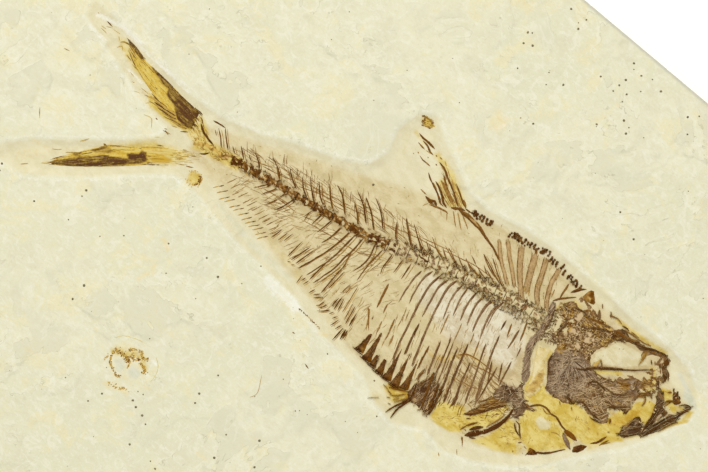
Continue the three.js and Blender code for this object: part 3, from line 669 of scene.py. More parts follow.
def make_plate():
    rows, columns = GRID_X.shape
    x, y, z = GRID_X.copy(), GRID_Y.copy(), HEIGHTS.copy()
    rim = np.minimum.reduce([x - LEFT, RIGHT - x, y - BOTTOM, TOP - y])
    # The rim of the face is pulled in a little and worn down.
    for j in range(rows):
        for i in range(columns):
            if rim[j, i] > 4.5:
                continue
            px, py = x[j, i], y[j, i]
            near = 1 - ease(0.0, 4.5, rim[j, i])
            in_x, in_y, knocked = outline_shift(px, py)
            chip = max(0.0, rough(px, py, 3.2, 3, 21.0) - 0.4) * 0.6
            toward_x = ease(4.5, 0.0, px - LEFT) - ease(4.5, 0.0, RIGHT - px)
            toward_y = ease(4.5, 0.0, py - BOTTOM) - ease(4.5, 0.0, TOP - py)
            x[j, i] += toward_x * (in_x + 0.15 + chip) - knocked * 0.9
            y[j, i] += toward_y * (in_y + 0.12 + chip * 0.25) + knocked * 0.9
            z[j, i] -= (0.05 + chip * 0.5) * near
    points = np.stack([x.ravel(), y.ravel(), z.ravel()], axis=1).tolist()
    faces, ring = sheet(rows, columns)
    side = np.zeros((len(points), 3)).tolist()
    previous = ring
    for drop in WALL_DROPS:
        current = []
        for index in ring:
            px, py, pz = points[index]
            reach_out = ease(0.0, 0.9, drop) * 0.2
            sides = [(px - LEFT, -1, 0), (RIGHT - px, 1, 0), (py - BOTTOM, 0, -1), (TOP - py, 0, 1)]
            _, ox, oy = min(sides)
            layer = 0.07 * rough(px + py, drop * 3.0, 2.4, 3, 31.0)
            coarse = 0.12 * rough(px + 40, py + drop, 7.0, 3, 35.0)
            grow = reach_out + (layer + coarse) * ease(0.3, 1.6, drop)
            at = np.clip([px + ox * grow, py + oy * grow], [LEFT, BOTTOM], [RIGHT, TOP])
            current.append(len(points))
            points.append([*at, max(pz - drop, 0.25)])
            side.append([ease(0.1, 0.7, drop), 0.0, 1 - ease(0.5, 1.2, drop)])
        faces += hoop(current, previous)
        previous = current
    # The foot of the wall, and then the flat back a little way in from it.
    for inset, shares in ((0.997, [0.6, 0.5, 0.0]), (0.995, [0.0, 1.0, 0.0])):
        current = list(range(len(points), len(points) + len(ring)))
        points += [[points[i][0] * inset, points[i][1] * inset, BACK] for i in previous]
        side += [shares] * len(ring)
        faces += hoop(current, previous)
        previous = current
    faces.append(tuple(reversed(previous)))

    mesh = bpy.data.meshes.new("stone_plate")
    mesh.from_pydata([Vector(p) * MM for p in points], [], faces)
    plain = np.zeros(len(points) - len(GRID))
    found = stains_at(GRID_FISH)
    for group in STAIN_GROUPS:
        carry(mesh, "_".join(group), np.stack([np.concatenate([found[name], plain]) for name in group],
                axis=1))
    side = np.array(side)
    # The third value marks the face's rim, where the painted shade along the arris goes.
    side[:len(GRID), 2] = 1 - ease(0.0, 0.5, rim.ravel())
    carry(mesh, "side_back_arris", side)
    place(mesh, "limestone", "limestone", "slab")


# ---------------------------------------------------------------- bones

SECTION = path(-0.5, -0.3, -0.4, 0.3, -0.22, 0.85, 0.0, 1.0, 0.22, 0.85, 0.4, 0.3, 0.5, -0.3)
SPREAD = 1.25
SECTION_COVER = [0.1, 0.5, 1.0, 1.0, 1.0, 0.5, 0.1]


# How high a splint's body stands, how closely its sections follow, and how deep a plaque is set.
SPLINT_RISE, SPLINT_STEP, PLAQUE_DEPTH = 0.22, 0.45, 0.18


def splint(heap, points, first, last, ink=0.8, rise=SPLINT_RISE, grey=0.0, gold=0.0, blunt=0.25, cover=1.0):
    """A bone lying on the stone: low, tapering, and sunk at its edges."""
    line = smooth_line(points, SPLINT_STEP)
    count = len(line) - 1
    start = 7.3 * points[0][0] + 3.1 * points[0][1]
    made, lay, inks = [], [], []
    for i, spot in enumerate(line):
        before, after = line[max(i - 1, 0)], line[min(i + 1, count)]
        along = (after - before) / max(np.linalg.norm(after - before), 1e-9)
        out = np.array([-along[1], along[0]])
        t = i / count
        ends = min(t, 1 - t) * count
        narrow = blunt + (1 - blunt) * ease(0.0, 1.5, ends)
        waver = 1 + 0.3 * rough(spot[0] * 3, spot[1] * 3, 2.0, 2, first)
        width = (first + (last - first) * t) * narrow * waver * SPREAD
        drift = 0.06 * rough(spot[0], spot[1], 1.4, 2, 5.0 + first)
        middle = spot + out * drift
        uneven = 0.85 + 0.3 * rough(spot[0] * 2, spot[1] * 2, 1.0, 2, 9.0)
        low = min(rise, SPLINT_RISE, 0.05 + 0.3 * width) * uneven
        seat = max(0.0, rise - SPLINT_RISE)
        base = surface(*middle)
        worn = cover * (0.75 + 0.25 * ease(0.0, 1.5, ends))
        for (across, up), shown in zip(SECTION, SECTION_COVER):
            at = middle + out * across * width
            px, py = to_plate(*at)
            made.append((px, py, base + up * low + (seat if up > 0 else 0.0)))
            lay.append((start + i * SPLINT_STEP, start + across * width, shown * worn))
            inks.append((ink, grey, gold))
    size = len(SECTION)
    faces = []
    for i in range(count):
        for k in range(size):
            a, b = i * size + k, i * size + (k + 1) % size
            faces.append((a, b, b + size, a + size))
    faces.append(tuple(range(size)))
    faces.append(tuple(reversed(range(count * size, (count + 1) * size))))
    faces = [tuple(reversed(face)) for face in faces]
    heap.add(made, faces, lay, inks)


def depth_in(places, rims):
    """How far each place lies inside the first rim and outside the others."""
    depth = reach(places, rims[0])
    for hole in rims[1:]:
        depth = np.minimum(depth, -reach(places, hole))
    return depth


def plaque(heap, outline, rise, spacing=0.32, ragged=0.25, inks=None, holes=()):
    """A broken flat bone: a closed sheet whose ragged edge dips into the stone."""
    rims = []
    for loop in (outline, *holes):
        closed = [*loop, loop[0]]
        rim = []
        for a, b in zip(closed, closed[1:]):
            a, b = np.array(a, dtype=float), np.array(b, dtype=float)
            pieces = max(1, round(np.linalg.norm(b - a) / spacing))
            span = (b - a) / max(np.linalg.norm(b - a), 1e-9)
            out = np.array([span[1], -span[0]])
            for k in range(pieces):
                spot = a + (b - a) * k / pieces
                jag = ragged * rough(spot[0], spot[1], 0.8, 3, 41.0)
                rim.append(spot + out * jag)
        rims.append(rim)
    rim_points = [p for rim in rims for p in rim]
    corners = np.array(rim_points)
    low, high = corners.min(axis=0), corners.max(axis=0)
    seeded = random.Random(round(low[0] * 10 + high[1] * 100))
    inner = np.array([(x + seeded.uniform(-0.3, 0.3) * spacing, y + seeded.uniform(-0.3, 0.3) * spacing)
            for x in np.arange(low[0], high[0], spacing) for y in np.arange(low[1], high[1], spacing)])
    inner = inner[depth_in(inner, rims) > spacing * 0.6]
    edges, start = [], 0
    for rim in rims:
        edges += [(start + k, start + (k + 1) % len(rim)) for k in range(len(rim))]
        start += len(rim)
    every = [Vector(p) for p in [*rim_points, *inner]]
    spots, _, triangles, *_ = geometry.delaunay_2d_cdt(every, edges, [], 0, 1e-5)
    flat = np.array([tuple(p) for p in spots])
    depth = depth_in(flat, rims)
    middles = flat[np.array(triangles)].mean(axis=1)
    triangles = [t for t, kept in zip(triangles, depth_in(middles, rims) > 0) if kept]
    top, bottom = [], []
    for (x, y), inside in zip(flat, depth):
        px, py = to_plate(x, y)
        base = surface(x, y)
        dome = ease(-0.05, 0.7, inside)
        relief = 0.75 + 0.35 * rough(x, y, 1.1, 4, 51.0) + 0.2 * rough(x, y, 0.45, 2, 53.0)
        top.append((px, py, base + rise * dome * relief - 0.03 * (1 - dome)))
        bottom.append((px, py, base - PLAQUE_DEPTH))
    count = len(top)
    faces = [tuple(t) for t in triangles]
    directed = {}
    for a, b, c in faces:
        for edge in ((a, b), (b, c), (c, a)):
            directed[edge] = directed.get(edge, 0) + 1
    walls = [(b, a, a + count, b + count) for a, b in directed if (b, a) not in directed]
    faces += [tuple(i + count for i in reversed(t)) for t in triangles] + walls
    shades = np.array(inks(flat))
    shown = shades[:, 3] * ease(-0.1, 0.3, depth)
    lay = [(x, y, c) for (x, y), c in zip(flat, shown)]
    heap.add(top + bottom, faces, lay * 2, [tuple(shade[:3]) for shade in shades] * 2)


def spread(count, outline, seed, skip=()):
    """Random places inside an outline, and off the patches in skip."""
    corners = np.array(outline)
    low, high = corners.min(axis=0), corners.max(axis=0)
    seeded = random.Random(seed)
    found = []
    while len(found) < count:
        spot = np.array([[seeded.uniform(low[0], high[0]), seeded.uniform(low[1], high[1])]])
        x, y = spot[0]
        clear = all(math.hypot((x - cx) / wide, (y - cy) / tall) > 1.1 for _, cx, cy, wide, tall in skip)
        if clear and reach(spot, outline)[0] > 0.1:
            found.append((x, y))
    return found


def splinters(heap, outline, count, heading, length, width, seed, ink=(0.5, 1.0), grey=0.0, rise=0.2,
              lift=14, gold=0.0, cover=1.0, skip=()):
    """Crushed bone: slivers that lie roughly along one heading."""
    seeded = random.Random(seed)
    for x, y in spread(count, outline, seed + 1, skip):
        turn = math.radians(heading + seeded.gauss(0, lift))
        half = length * seeded.uniform(0.5, 1.3) / 2
        step = np.array([math.cos(turn), math.sin(turn)]) * half
        bend = np.array([-step[1], step[0]]) * seeded.uniform(-0.15, 0.15)
        ends = [(x - step[0], y - step[1]), (x + bend[0], y + bend[1]), (x + step[0], y + step[1])]
        wide = width * seeded.uniform(0.6, 1.4)
        splint(heap, ends, wide, wide * seeded.uniform(0.4, 1.0), seeded.uniform(*ink), rise,
                grey * seeded.uniform(0.3, 1.0), gold * seeded.uniform(0.0, 1.0), 0.25, cover)


def strokes(heap, table, rise=SPLINT_RISE, grey=0.0, gold=0.0):
    """Splints from a table of lines."""
    for points, first, last, ink, *own in lines_of(table):
        splint(heap, points, first, last, ink, rise, grey, own[0] if own else gold)


def beads(heap, line, count, stray, size, inks, seed, gold=0.8):
    """A crust of small grains strung along a line."""
    seeded = random.Random(seed)
    course = smooth_line(line, 0.1)
    for _ in range(count):
        spot = course[seeded.randrange(len(course))]
        x, y = spot + np.array([seeded.gauss(0, stray), seeded.gauss(0, stray)])
        shade = (seeded.uniform(*inks), 0.0, gold)
        grain_of(heap, *to_plate(x, y), surface(x, y), size * seeded.uniform(0.6, 1.3), size * 0.6, shade)


# ---------------------------------------------------------------- head

SKULL = path(
    38.5, 0.8, 38.4, -2, 39.5, -4, 40.2, -6, 41.4, -6.8, 43.4, -6.8, 45.5, -6.4, 46, -5.4, 47.2, -5.8,
    49, -6.4, 51.2, -6.6, 52.4, -5.8, 51.6, -4.6, 51, -3.8, 52.3, -3.1, 54.5, -3.2, 54.2, -1, 54.6, 0.6,
    56, 1.2, 56.6, 3.2, 57.3, 5.2, 56.4, 6.8, 56.1, 8.4, 55, 9, 52.6, 8.4, 50, 8.6, 48, 8.5, 46.4, 9.2,
    45.6, 8.3, 42.4, 8.6, 40.6, 9.6, 38.2, 10.2, 36.4, 8.4, 35.9, 5, 36.6, 2,
)

ORBIT = path(
    45.2, 1.0, 44.2, 2.6, 44.9, 4, 45.9, 5.2, 46.4, 6.4, 47.6, 7.2, 49.2, 7.5, 51.2, 7.3, 51.8, 5.2,
    52.4, 7.2, 54.2, 7.9, 54.2, 6, 53.4, 4.9, 52.4, 3.6, 50.2, 2.4, 49.4, 1, 47.2, 0.2,
)

LOWER_JAW = path(
    54.6, -5, 54.5, -6.2, 55, -6.8, 56, -6.7, 57.4, -5.2, 58.2, -5.3, 60, -3.2, 61, -1.2, 62, -0.1, 62.1, 1,
    62.7, 2.3, 63.3, 3.1, 62.8, 3.6, 61.8, 3.3, 61, 2.5, 62.1, 3, 62, 2.1, 61.2, 1.6, 61.2, 1.1, 60.3, 0.6,
    60.1, -0.2, 59.3, -1.5, 58.6, -2.8, 58, -3.7, 57.4, -3.4, 56.8, -2.7, 55.9, -2.2, 55.4, -3,
)

UPPER_JAW = path(
    56.6, 3.3, 57.4, 3.2, 58.3, 2.6, 58.8, 1.9, 58.9, 1.1, 60.3, 0.6, 60.1, 0.1, 59.5, -0.8, 59, -2,
    58.5, -3.1, 58.3, -5, 57.6, -5, 57.4, -3.8, 57.7, -2.6, 57.8, -0.8, 57.6, 0.4, 57.3, 1.3, 56.9, 2.2,
)

LOWER_JAW_PATCHES = [
    ("dark", 57, -5, 1.0, 0.6), ("gold", 55.2, -4.4, 0.4, 0.8), ("gold", 61, -1, 0.5, 0.8),
    ("grey", 56.2, -4.6, 0.8, 1.2), ("grey", 58.8, -4, 0.8, 0.8), ("grey", 59.8, -2, 0.6, 0.8),
]
UPPER_JAW_PATCHES = [
    ("grey", 57.4, 2.3, 0.9, 0.8), ("gold", 59.8, 0.3, 0.5, 0.4), ("grey", 58.5, -4, 0.4, 0.8),
    ("pale", 59.2, -1, 0.25, 0.9), ("dark", 58.2, -0.4, 0.4, 1.0), ("dark", 58, -3, 0.3, 1.2),
]

# Lines of the crushed face, in rows for lines_of.
FACE_LINES = [
    (0.36, 0.2, 0.95, 42.8, -0.6, 44, -0.3, 45, 0.4, 47, 1.6, 49.5, 2.8, 52, 4.2, 53.9, 5.4),
    (0.2, 0.16, 0.55, 44.4, 0.4, 46.2, 1.5, 48, 2.4, 50, 3.3),
    (0.34, 0.24, 1.0, 46.2, 9.4, 47.2, 9.4, 47.6, 9.2), (0.36, 0.24, 0.9, 46.5, 8.8, 47.3, 8.7, 48, 8.4),
    (0.4, 0.4, 0.8, 0.6, 45.4, 8.1, 47, 8, 49, 8.1, 50, 8.5),
    (0.36, 0.3, 1.0, 49.2, 7.8, 50.6, 7.9, 51.8, 8.2, 53, 8.6, 55.2, 8.8),
    (0.18, 0.2, 0.7, 0.8, 51.8, 7.9, 53, 8.2, 54.4, 8.5), (0.25, 0.2, 0.7, 1.0, 51.2, 8.8, 52, 8.9),
    (1.15, 0.8, 1.05, 0.4, 55.5, 8.4, 55.7, 7.7, 55.5, 7), (0.35, 0.3, 0.8, 55.2, 9, 55.2, 8.2),
    (0.3, 0.2, 0.8, 54.5, 8.3, 54.6, 7.5), (0.28, 0.2, 0.9, 53.2, 6.9, 53.7, 6.2),
    (0.2, 0.16, 0.6, 0.7, 53.9, 7, 54.2, 6.4), (0.3, 0.24, 0.9, 54.8, 7, 55.3, 6.2),
    (0.3, 0.2, 0.8, 0.5, 55.3, 6.3, 55.7, 5.6), (0.8, 0.7, 1.0, 56.1, 5.9, 56.6, 5.4, 57, 5),
    (0.3, 0.26, 0.85, 56, 6.9, 56.8, 6.3, 57.4, 5.2), (0.3, 0.24, 0.8, 56.8, 5.3, 56.6, 4.4),
    (0.55, 0.5, 1.0, 55.7, 4.4, 56.1, 4.1, 56.4, 3.6), (0.4, 0.3, 0.8, 0.7, 55, 4.6, 55.7, 4.3),
    (0.26, 0.3, 1.0, 56.3, 3, 56.9, 3.5, 57.4, 3.2), (0.7, 0.7, 0.6, 56.8, 2.9, 57.7, 2.4, 58.4, 2.1),
    (0.36, 0.3, 0.95, 57, 2, 57.6, 1.5), (0.26, 0.2, 0.8, 0.6, 55.7, 2.8, 56.3, 2.7),
    (0.4, 0.4, 0.75, 0.4, 54.1, 1.1, 55, 1.4, 56, 1.7, 56.6, 1.3), (0.3, 0.26, 0.9, 55.6, 2, 56.2, 2),
    (0.4, 0.3, 0.65, 0.5, 55.4, 1.2, 55.8, 0.2, 55.7, -0.6), (0.3, 0.3, 0.9, 0.5, 54.4, 2.2, 54.8, 1.9),
    (0.6, 0.4, 0.65, 0.6, 54, 3, 55, 3.4, 55.4, 3), (0.3, 0.3, 0.7, 0.5, 53.9, 0.4, 54.6, 0.7, 55.6, 1),
    (0.24, 0.2, 0.6, 0.8, 54.6, 5.8, 54.4, 5.3), (0.4, 0.36, 0.95, 46.5, 6.7, 47, 7.2, 47.6, 7.4),
    (0.85, 0.12, 0.55, 0.9, 51.8, 7.3, 51.9, 6.4, 51.8, 5),
    (1.1, 0.2, 0.15, 0.8, 45.3, 1.2, 45.7, 1.9, 45.9, 2.8),
    (0.26, 0.2, 0.6, 0.6, 45.9, 2.8, 46.5, 2, 46.9, 1.1), (0.5, 0.4, 0.7, 0.4, 43.6, 10.2, 43.9, 9.6),
    (0.3, 0.2, 0.6, 41.5, 10.9, 41.9, 10.2), (0.3, 0.3, 0.7, 0.8, 39.3, 8.4, 40.3, 8.9, 41.2, 8.3),
    (0.2, 0.16, 0.6, 0.8, 46.8, 9, 48.6, 8.9, 50.4, 8.7, 52, 8.8),
    (0.16, 0.12, 0.4, 1.0, 48, 9.3, 49.6, 9.1), (0.45, 0.5, 0.7, 41.6, 9.8, 42, 9, 42.4, 8.3),
    (0.4, 0.16, 0.5, 43.4, 10.5, 43.8, 10, 45, 10, 46, 9.6),
    (0.5, 0.3, 0.8, 0.5, 40.2, 7.6, 42, 7.9, 44, 8.1), (0.36, 0.3, 0.85, 38, 8, 39.4, 8.2, 40.4, 7.8),
    (0.4, 0.3, 0.9, 41.4, 6.2, 43, 7, 45, 7.6), (0.4, 0.4, 0.8, 37.3, 3.2, 37.9, 4.6, 37.7, 5.6),
    (0.16, 0.16, 0.7, 0.7, 46.2, 0.4, 47.6, 0.3, 48.6, 0.4),
    (0.36, 0.4, 0.75, 0.6, 49.6, 0.9, 51, 1, 52.4, 1.6), (0.3, 0.2, 0.75, 51, 2, 51.8, 2.3),
    (0.36, 0.3, 0.95, 46, -1.8, 46.8, -0.9, 48, -1, 49.4, -1.4), (0.3, 0.2, 0.8, 48.9, -1.2, 49.1, -2.8),
    (0.26, 0.2, 0.85, 48.6, -0.9, 50.6, -1.1, 52.6, -0.2),
    (0.5, 0.3, 0.85, 50.8, -3.6, 52.4, -2.7, 54, -1.6),
    (0.3, 0.3, 0.9, 45.4, -5.6, 47, -5, 49, -5.8, 51, -6.2),
    (0.22, 0.22, 0.95, 49, -6.5, 50, -6.6, 51.3, -6.5), (0.14, 0.12, -0.2, 49.8, -6.3, 51, -6.2),
    (0.5, 0.5, 0.8, 0.6, 52.2, -5, 52.5, -5.8), (0.4, 0.4, 1.0, 43.7, -5.6, 44.6, -5.6, 45.4, -6.1),
    (0.36, 0.3, 1.0, 42, -6.1, 42, -6.7), (0.36, 0.3, 1.05, 43.2, -3.4, 43.4, -4),
    (0.2, 0.2, 0.9, 38.5, -0.2, 38.5, -1.8, 39.2, -3.2, 39.8, -4.6),
    (0.3, 0.3, 0.85, 38.9, -1.3, 39.6, -0.9, 40.1, -0.6), (0.2, 0.14, 0.7, 43.4, -6.7, 43.8, -7.2),
    (0.2, 0.14, 0.6, 45.6, -6.5, 46, -7), (0.2, 0.16, 0.6, 0.8, 47.2, -7.9, 47.4, -8.2),
    (0.5, 0.4, 0.85, 53.6, -3.2, 54, -2.6),
]

JAW_LINES = [
    (0.36, 0.4, 1.1, 58.2, -5, 59.2, -3, 60.3, -1, 61.6, 0.8),
    (0.5, 0.5, 1.0, 61.6, 0.9, 62.2, 2, 62.8, 3.1),
    (0.3, 0.2, 0.8, 0.3, 60, -2.9, 60.8, -1.6, 61.6, -0.4, 62.2, 0.1),
    (0.22, 0.3, 1.0, 61, 2.6, 61.8, 3.2, 62.8, 3.4), (0.4, 0.4, 0.95, 61.2, 1.5, 61.9, 1.4),
    (0.4, 0.3, 1.1, 55, -6.5, 56.2, -6, 57.4, -4.8), (0.36, 0.3, 1.05, 55.8, -5, 56.8, -4.2, 57.4, -3.4),
    (0.4, 0.3, 1.05, 55.7, -2.7, 56.2, -2.4, 57, -3.2), (0.2, 0.16, 1.0, 58.8, -2.4, 59.5, -1.4, 60, -0.4),
    (0.36, 0.3, 0.6, 0.4, 55.5, -3.2, 55.2, -4.2, 54.8, -5.6),
]

SNOUT_LINES = [
    (0.4, 0.36, 1.0, 58.8, 4.6, 59.2, 4), (0.6, 0.5, 1.05, 59.7, 4.6, 59.8, 3.8, 59.4, 3.3),
    (0.4, 0.36, 0.95, 60.3, 4, 60.5, 3.6), (0.5, 0.5, 0.85, 59.5, 3.4, 60, 2.9, 60.6, 2.6),
    (0.5, 0.4, 0.7, 0.6, 60.2, 3.2, 61, 3.3), (0.4, 0.36, 0.7, 1.0, 58.3, 3.5, 58.9, 3.9),
    (0.36, 0.3, 0.8, 0.4, 58.8, 2.2, 59.6, 2.6, 60.4, 2.7),
    (0.4, 0.4, 0.6, 1.0, 59, 1.2, 59.1, 1.9, 59.6, 2.2),
]

SNOUT_CHIP = path(
    58.5, 4.7, 59.1, 4.9, 59.3, 4.3, 59.7, 4.7, 60.1, 4.3, 60.3, 3.9, 60.7, 4, 60.9, 3.5, 61.3, 3.5,
    61.1, 2.7, 60.4, 2.2, 59.8, 2.4, 59.3, 1.3, 58.8, 1.2, 58.7, 2.2, 59.5, 2.9, 59.2, 3.5, 59, 4,
)

SHOULDER_BLADE = path(
    33.6, -8.9, 35, -8.4, 36.2, -8.7, 36.3, -7, 37, -7, 37.4, -8.4, 38.7, -9.8, 39.2, -9.8, 39.4, -10,
    40.7, -9.9, 40.7, -10.6, 39.4, -11, 39.1, -12.4, 38.8, -13, 37.9, -12.6, 37.2, -11.4, 36.6, -10.8,
    35.6, -11.4, 34.2, -11.8, 33.2, -11,
)

GILL_COVER = path(
    35.5, -0.4, 38, 0.3, 38.1, -2.2, 39.1, -4, 39.9, -6.4, 38.9, -9.2, 37.6, -8.4, 37.4, -5.6, 36.1, -2.6,
)


# Patches of the crushed skull: what shows there, the middle, and the half sizes across and up.
# Most pale patches are painted highlights, glints on the crushed bone; a few are paler bone.
SKULL_PATCHES = [
    ("bare", 36.4, 4.3, 0.85, 1.35), ("bare", 38.9, 8.9, 1.3, 0.65), ("bare", 45.2, 2, 0.7, 0.7),
    ("bare", 37.2, 9.2, 0.7, 0.4), ("bare", 55.2, 5.5, 0.8, 0.8), ("bare", 54.3, 6.1, 0.5, 0.6),
    ("bare", 55.2, 2.5, 0.5, 0.35), ("bare", 54.6, 1.6, 0.6, 0.28), ("bare", 56, 3.1, 0.35, 0.35),
    ("bare", 56.5, 1.4, 0.3, 0.5), ("bare", 56.2, 0.5, 0.9, 0.5), ("bare", 54.8, -0.9, 0.6, 0.4),
    ("bare", 56.6, 4.4, 0.2, 0.5), ("bare", 52.2, 3.4, 1.3, 0.55), ("bare", 53.7, 4.3, 0.9, 0.5),
    ("bare", 49.6, 0.9, 0.5, 0.3), ("bare", 50.6, 2.3, 0.9, 0.4), ("bare", 38.4, 4, 0.4, 0.5),
    ("bare", 55.5, 3.9, 0.3, 0.3), ("bare", 38.4, 5.9, 0.45, 0.3), ("bare", 44.7, 8.6, 0.8, 0.35),
    ("grey", 40.2, -1.5, 1.9, 2.5), ("grey", 41.4, -4.7, 1.7, 1.9), ("grey", 43, 0.2, 1.9, 1.4),
    ("grey", 35.6, 3.4, 0.6, 2.4), ("grey", 52.6, 1.4, 1.0, 1.2), ("grey", 51.4, -1.4, 1.6, 0.8),
    ("grey", 46.2, -0.8, 1.6, 0.8), ("grey", 56.6, 2.8, 0.8, 0.5), ("gold", 41.9, 7.1, 1.7, 0.8),
    ("dark", 41.6, 7.4, 1.3, 0.6), ("gold", 43.8, 8, 1.4, 0.5), ("gold", 39.4, 1.1, 0.8, 0.8),
    ("gold", 45.3, 5.4, 0.8, 0.7), ("gold", 51.4, 0.2, 0.9, 0.6), ("gold", 54.8, 3.4, 1.0, 1.4),
    ("gold", 52, 6.7, 0.5, 1.0), ("gold", 37, 6.8, 1.3, 0.9), ("gold", 38.4, 4.8, 0.7, 1.2),
    ("gold", 48.4, 8, 1.6, 0.4), ("gold", 49.2, -4.9, 0.9, 0.6), ("gold", 52.2, -2.2, 0.8, 0.4),
    ("gold", 51.6, 1, 0.7, 0.5), ("dark", 43.3, -3.8, 0.5, 0.5), ("dark", 44.4, -5.5, 0.7, 0.4),
    ("dark", 45.2, -5.9, 0.5, 0.5), ("dark", 41.1, 5.8, 0.7, 0.5), ("dark", 38.5, -1.8, 0.3, 1.2),
    ("dark", 39.3, -3.6, 0.3, 0.9), ("dark", 53.5, -2.8, 0.7, 0.5), ("dark", 50.5, -1.1, 1.6, 0.35),
    ("dark", 49, -1.9, 0.6, 1.2), ("dark", 52.3, -5.6, 0.3, 0.6), ("dark", 47, -1, 1.3, 0.3),
    ("dark", 55.7, 7.7, 0.6, 0.9), ("dark", 56.2, 4.2, 0.5, 0.4), ("dark", 46.6, 7.1, 0.7, 0.3),
    ("dark", 50, 8, 1.2, 0.3), ("dark", 46.8, 8.6, 1.1, 0.35), ("dark", 42.2, 8.6, 0.4, 0.9),
    ("dark", 37.5, 4.2, 0.3, 1.4), ("dark", 48.6, -5.2, 1.2, 0.4), ("dark", 41.6, 7.7, 1.0, 0.4),
    ("dark", 56.8, 5.6, 0.5, 0.5), ("pale", 42.4, 4.4, 0.5, 0.45), ("pale", 41.4, 2.7, 0.4, 0.5),
    ("pale", 39.5, 4.6, 0.4, 0.4), ("pale", 39.3, 7.1, 0.55, 0.75), ("pale", 42.2, 5.5, 0.45, 0.25),
    ("pale", 44.6, 7.6, 0.35, 0.3), ("pale", 44.5, 6.9, 0.5, 0.3), ("pale", 38.6, 3.8, 0.35, 0.5),
    ("pale", 43.8, 0.3, 0.6, 0.3), ("pale", 40.4, 4.5, 0.5, 0.2), ("pale", 43, 5, 0.3, 0.2),
    ("pale", 49.7, -0.8, 1.0, 0.2), ("pale", 50.4, -6.1, 0.6, 0.2), ("pale", 55.4, 4.1, 0.25, 0.25),
    ("pale", 54.9, 7.6, 0.3, 0.35), ("pale", 44.6, -6.1, 0.25, 0.2), ("pale", 43.5, -4.8, 0.4, 0.2),
    ("pale", 53.4, -0.7, 0.6, 0.3),
]


def patched(ink, patches=(), grey=0.0, gold=0.0, change=0.35, speckle=None):
    """The shades of a flat bone: its own, changed patch by patch, with a speckled zone if it has one."""
    def shades(places):
        made = []
        for x, y in places:
            stir = 0.75 * rough(x, y, 0.6, 4, 67.0)
            shade = {"dark": ink + change * rough(x, y, 0.8, 3, 65.0), "grey": grey, "gold": gold,
                    "bare": 1.0}
            for kind, cx, cy, wide, tall in patches:
                off = math.hypot((x - cx) / wide, (y - cy) / tall)
                if off > 1.8:
                    continue
                share = float(ease(1.45, 0.55, off + stir))
                # A pale patch lightens the bone: most stand for painted highlights, glints; the rest for
                # paler bone.
                if kind == "pale":
                    shade["dark"] -= 0.95 * share
                elif kind == "dark":
                    shade["dark"] += 0.4 * share
                elif kind == "bare":
                    shade["bare"] -= share
                else:
                    shade[kind] = max(shade[kind], share)
            if speckle:
                zone = float(ease(-0.6, 0.8, reach(np.array([[x, y]]), speckle)[0]))
                shade["dark"] += zone * 0.9 * rough(x, y, 0.34, 3, 69.0)
                shade["gold"] = max(shade["gold"], zone * ease(0.2, 0.6, rough(x, y, 0.9, 3, 63.0)) * 0.3)
            made.append((shade["dark"], shade["grey"], float(shade["gold"]), shade["bare"]))
        return made
    return shades


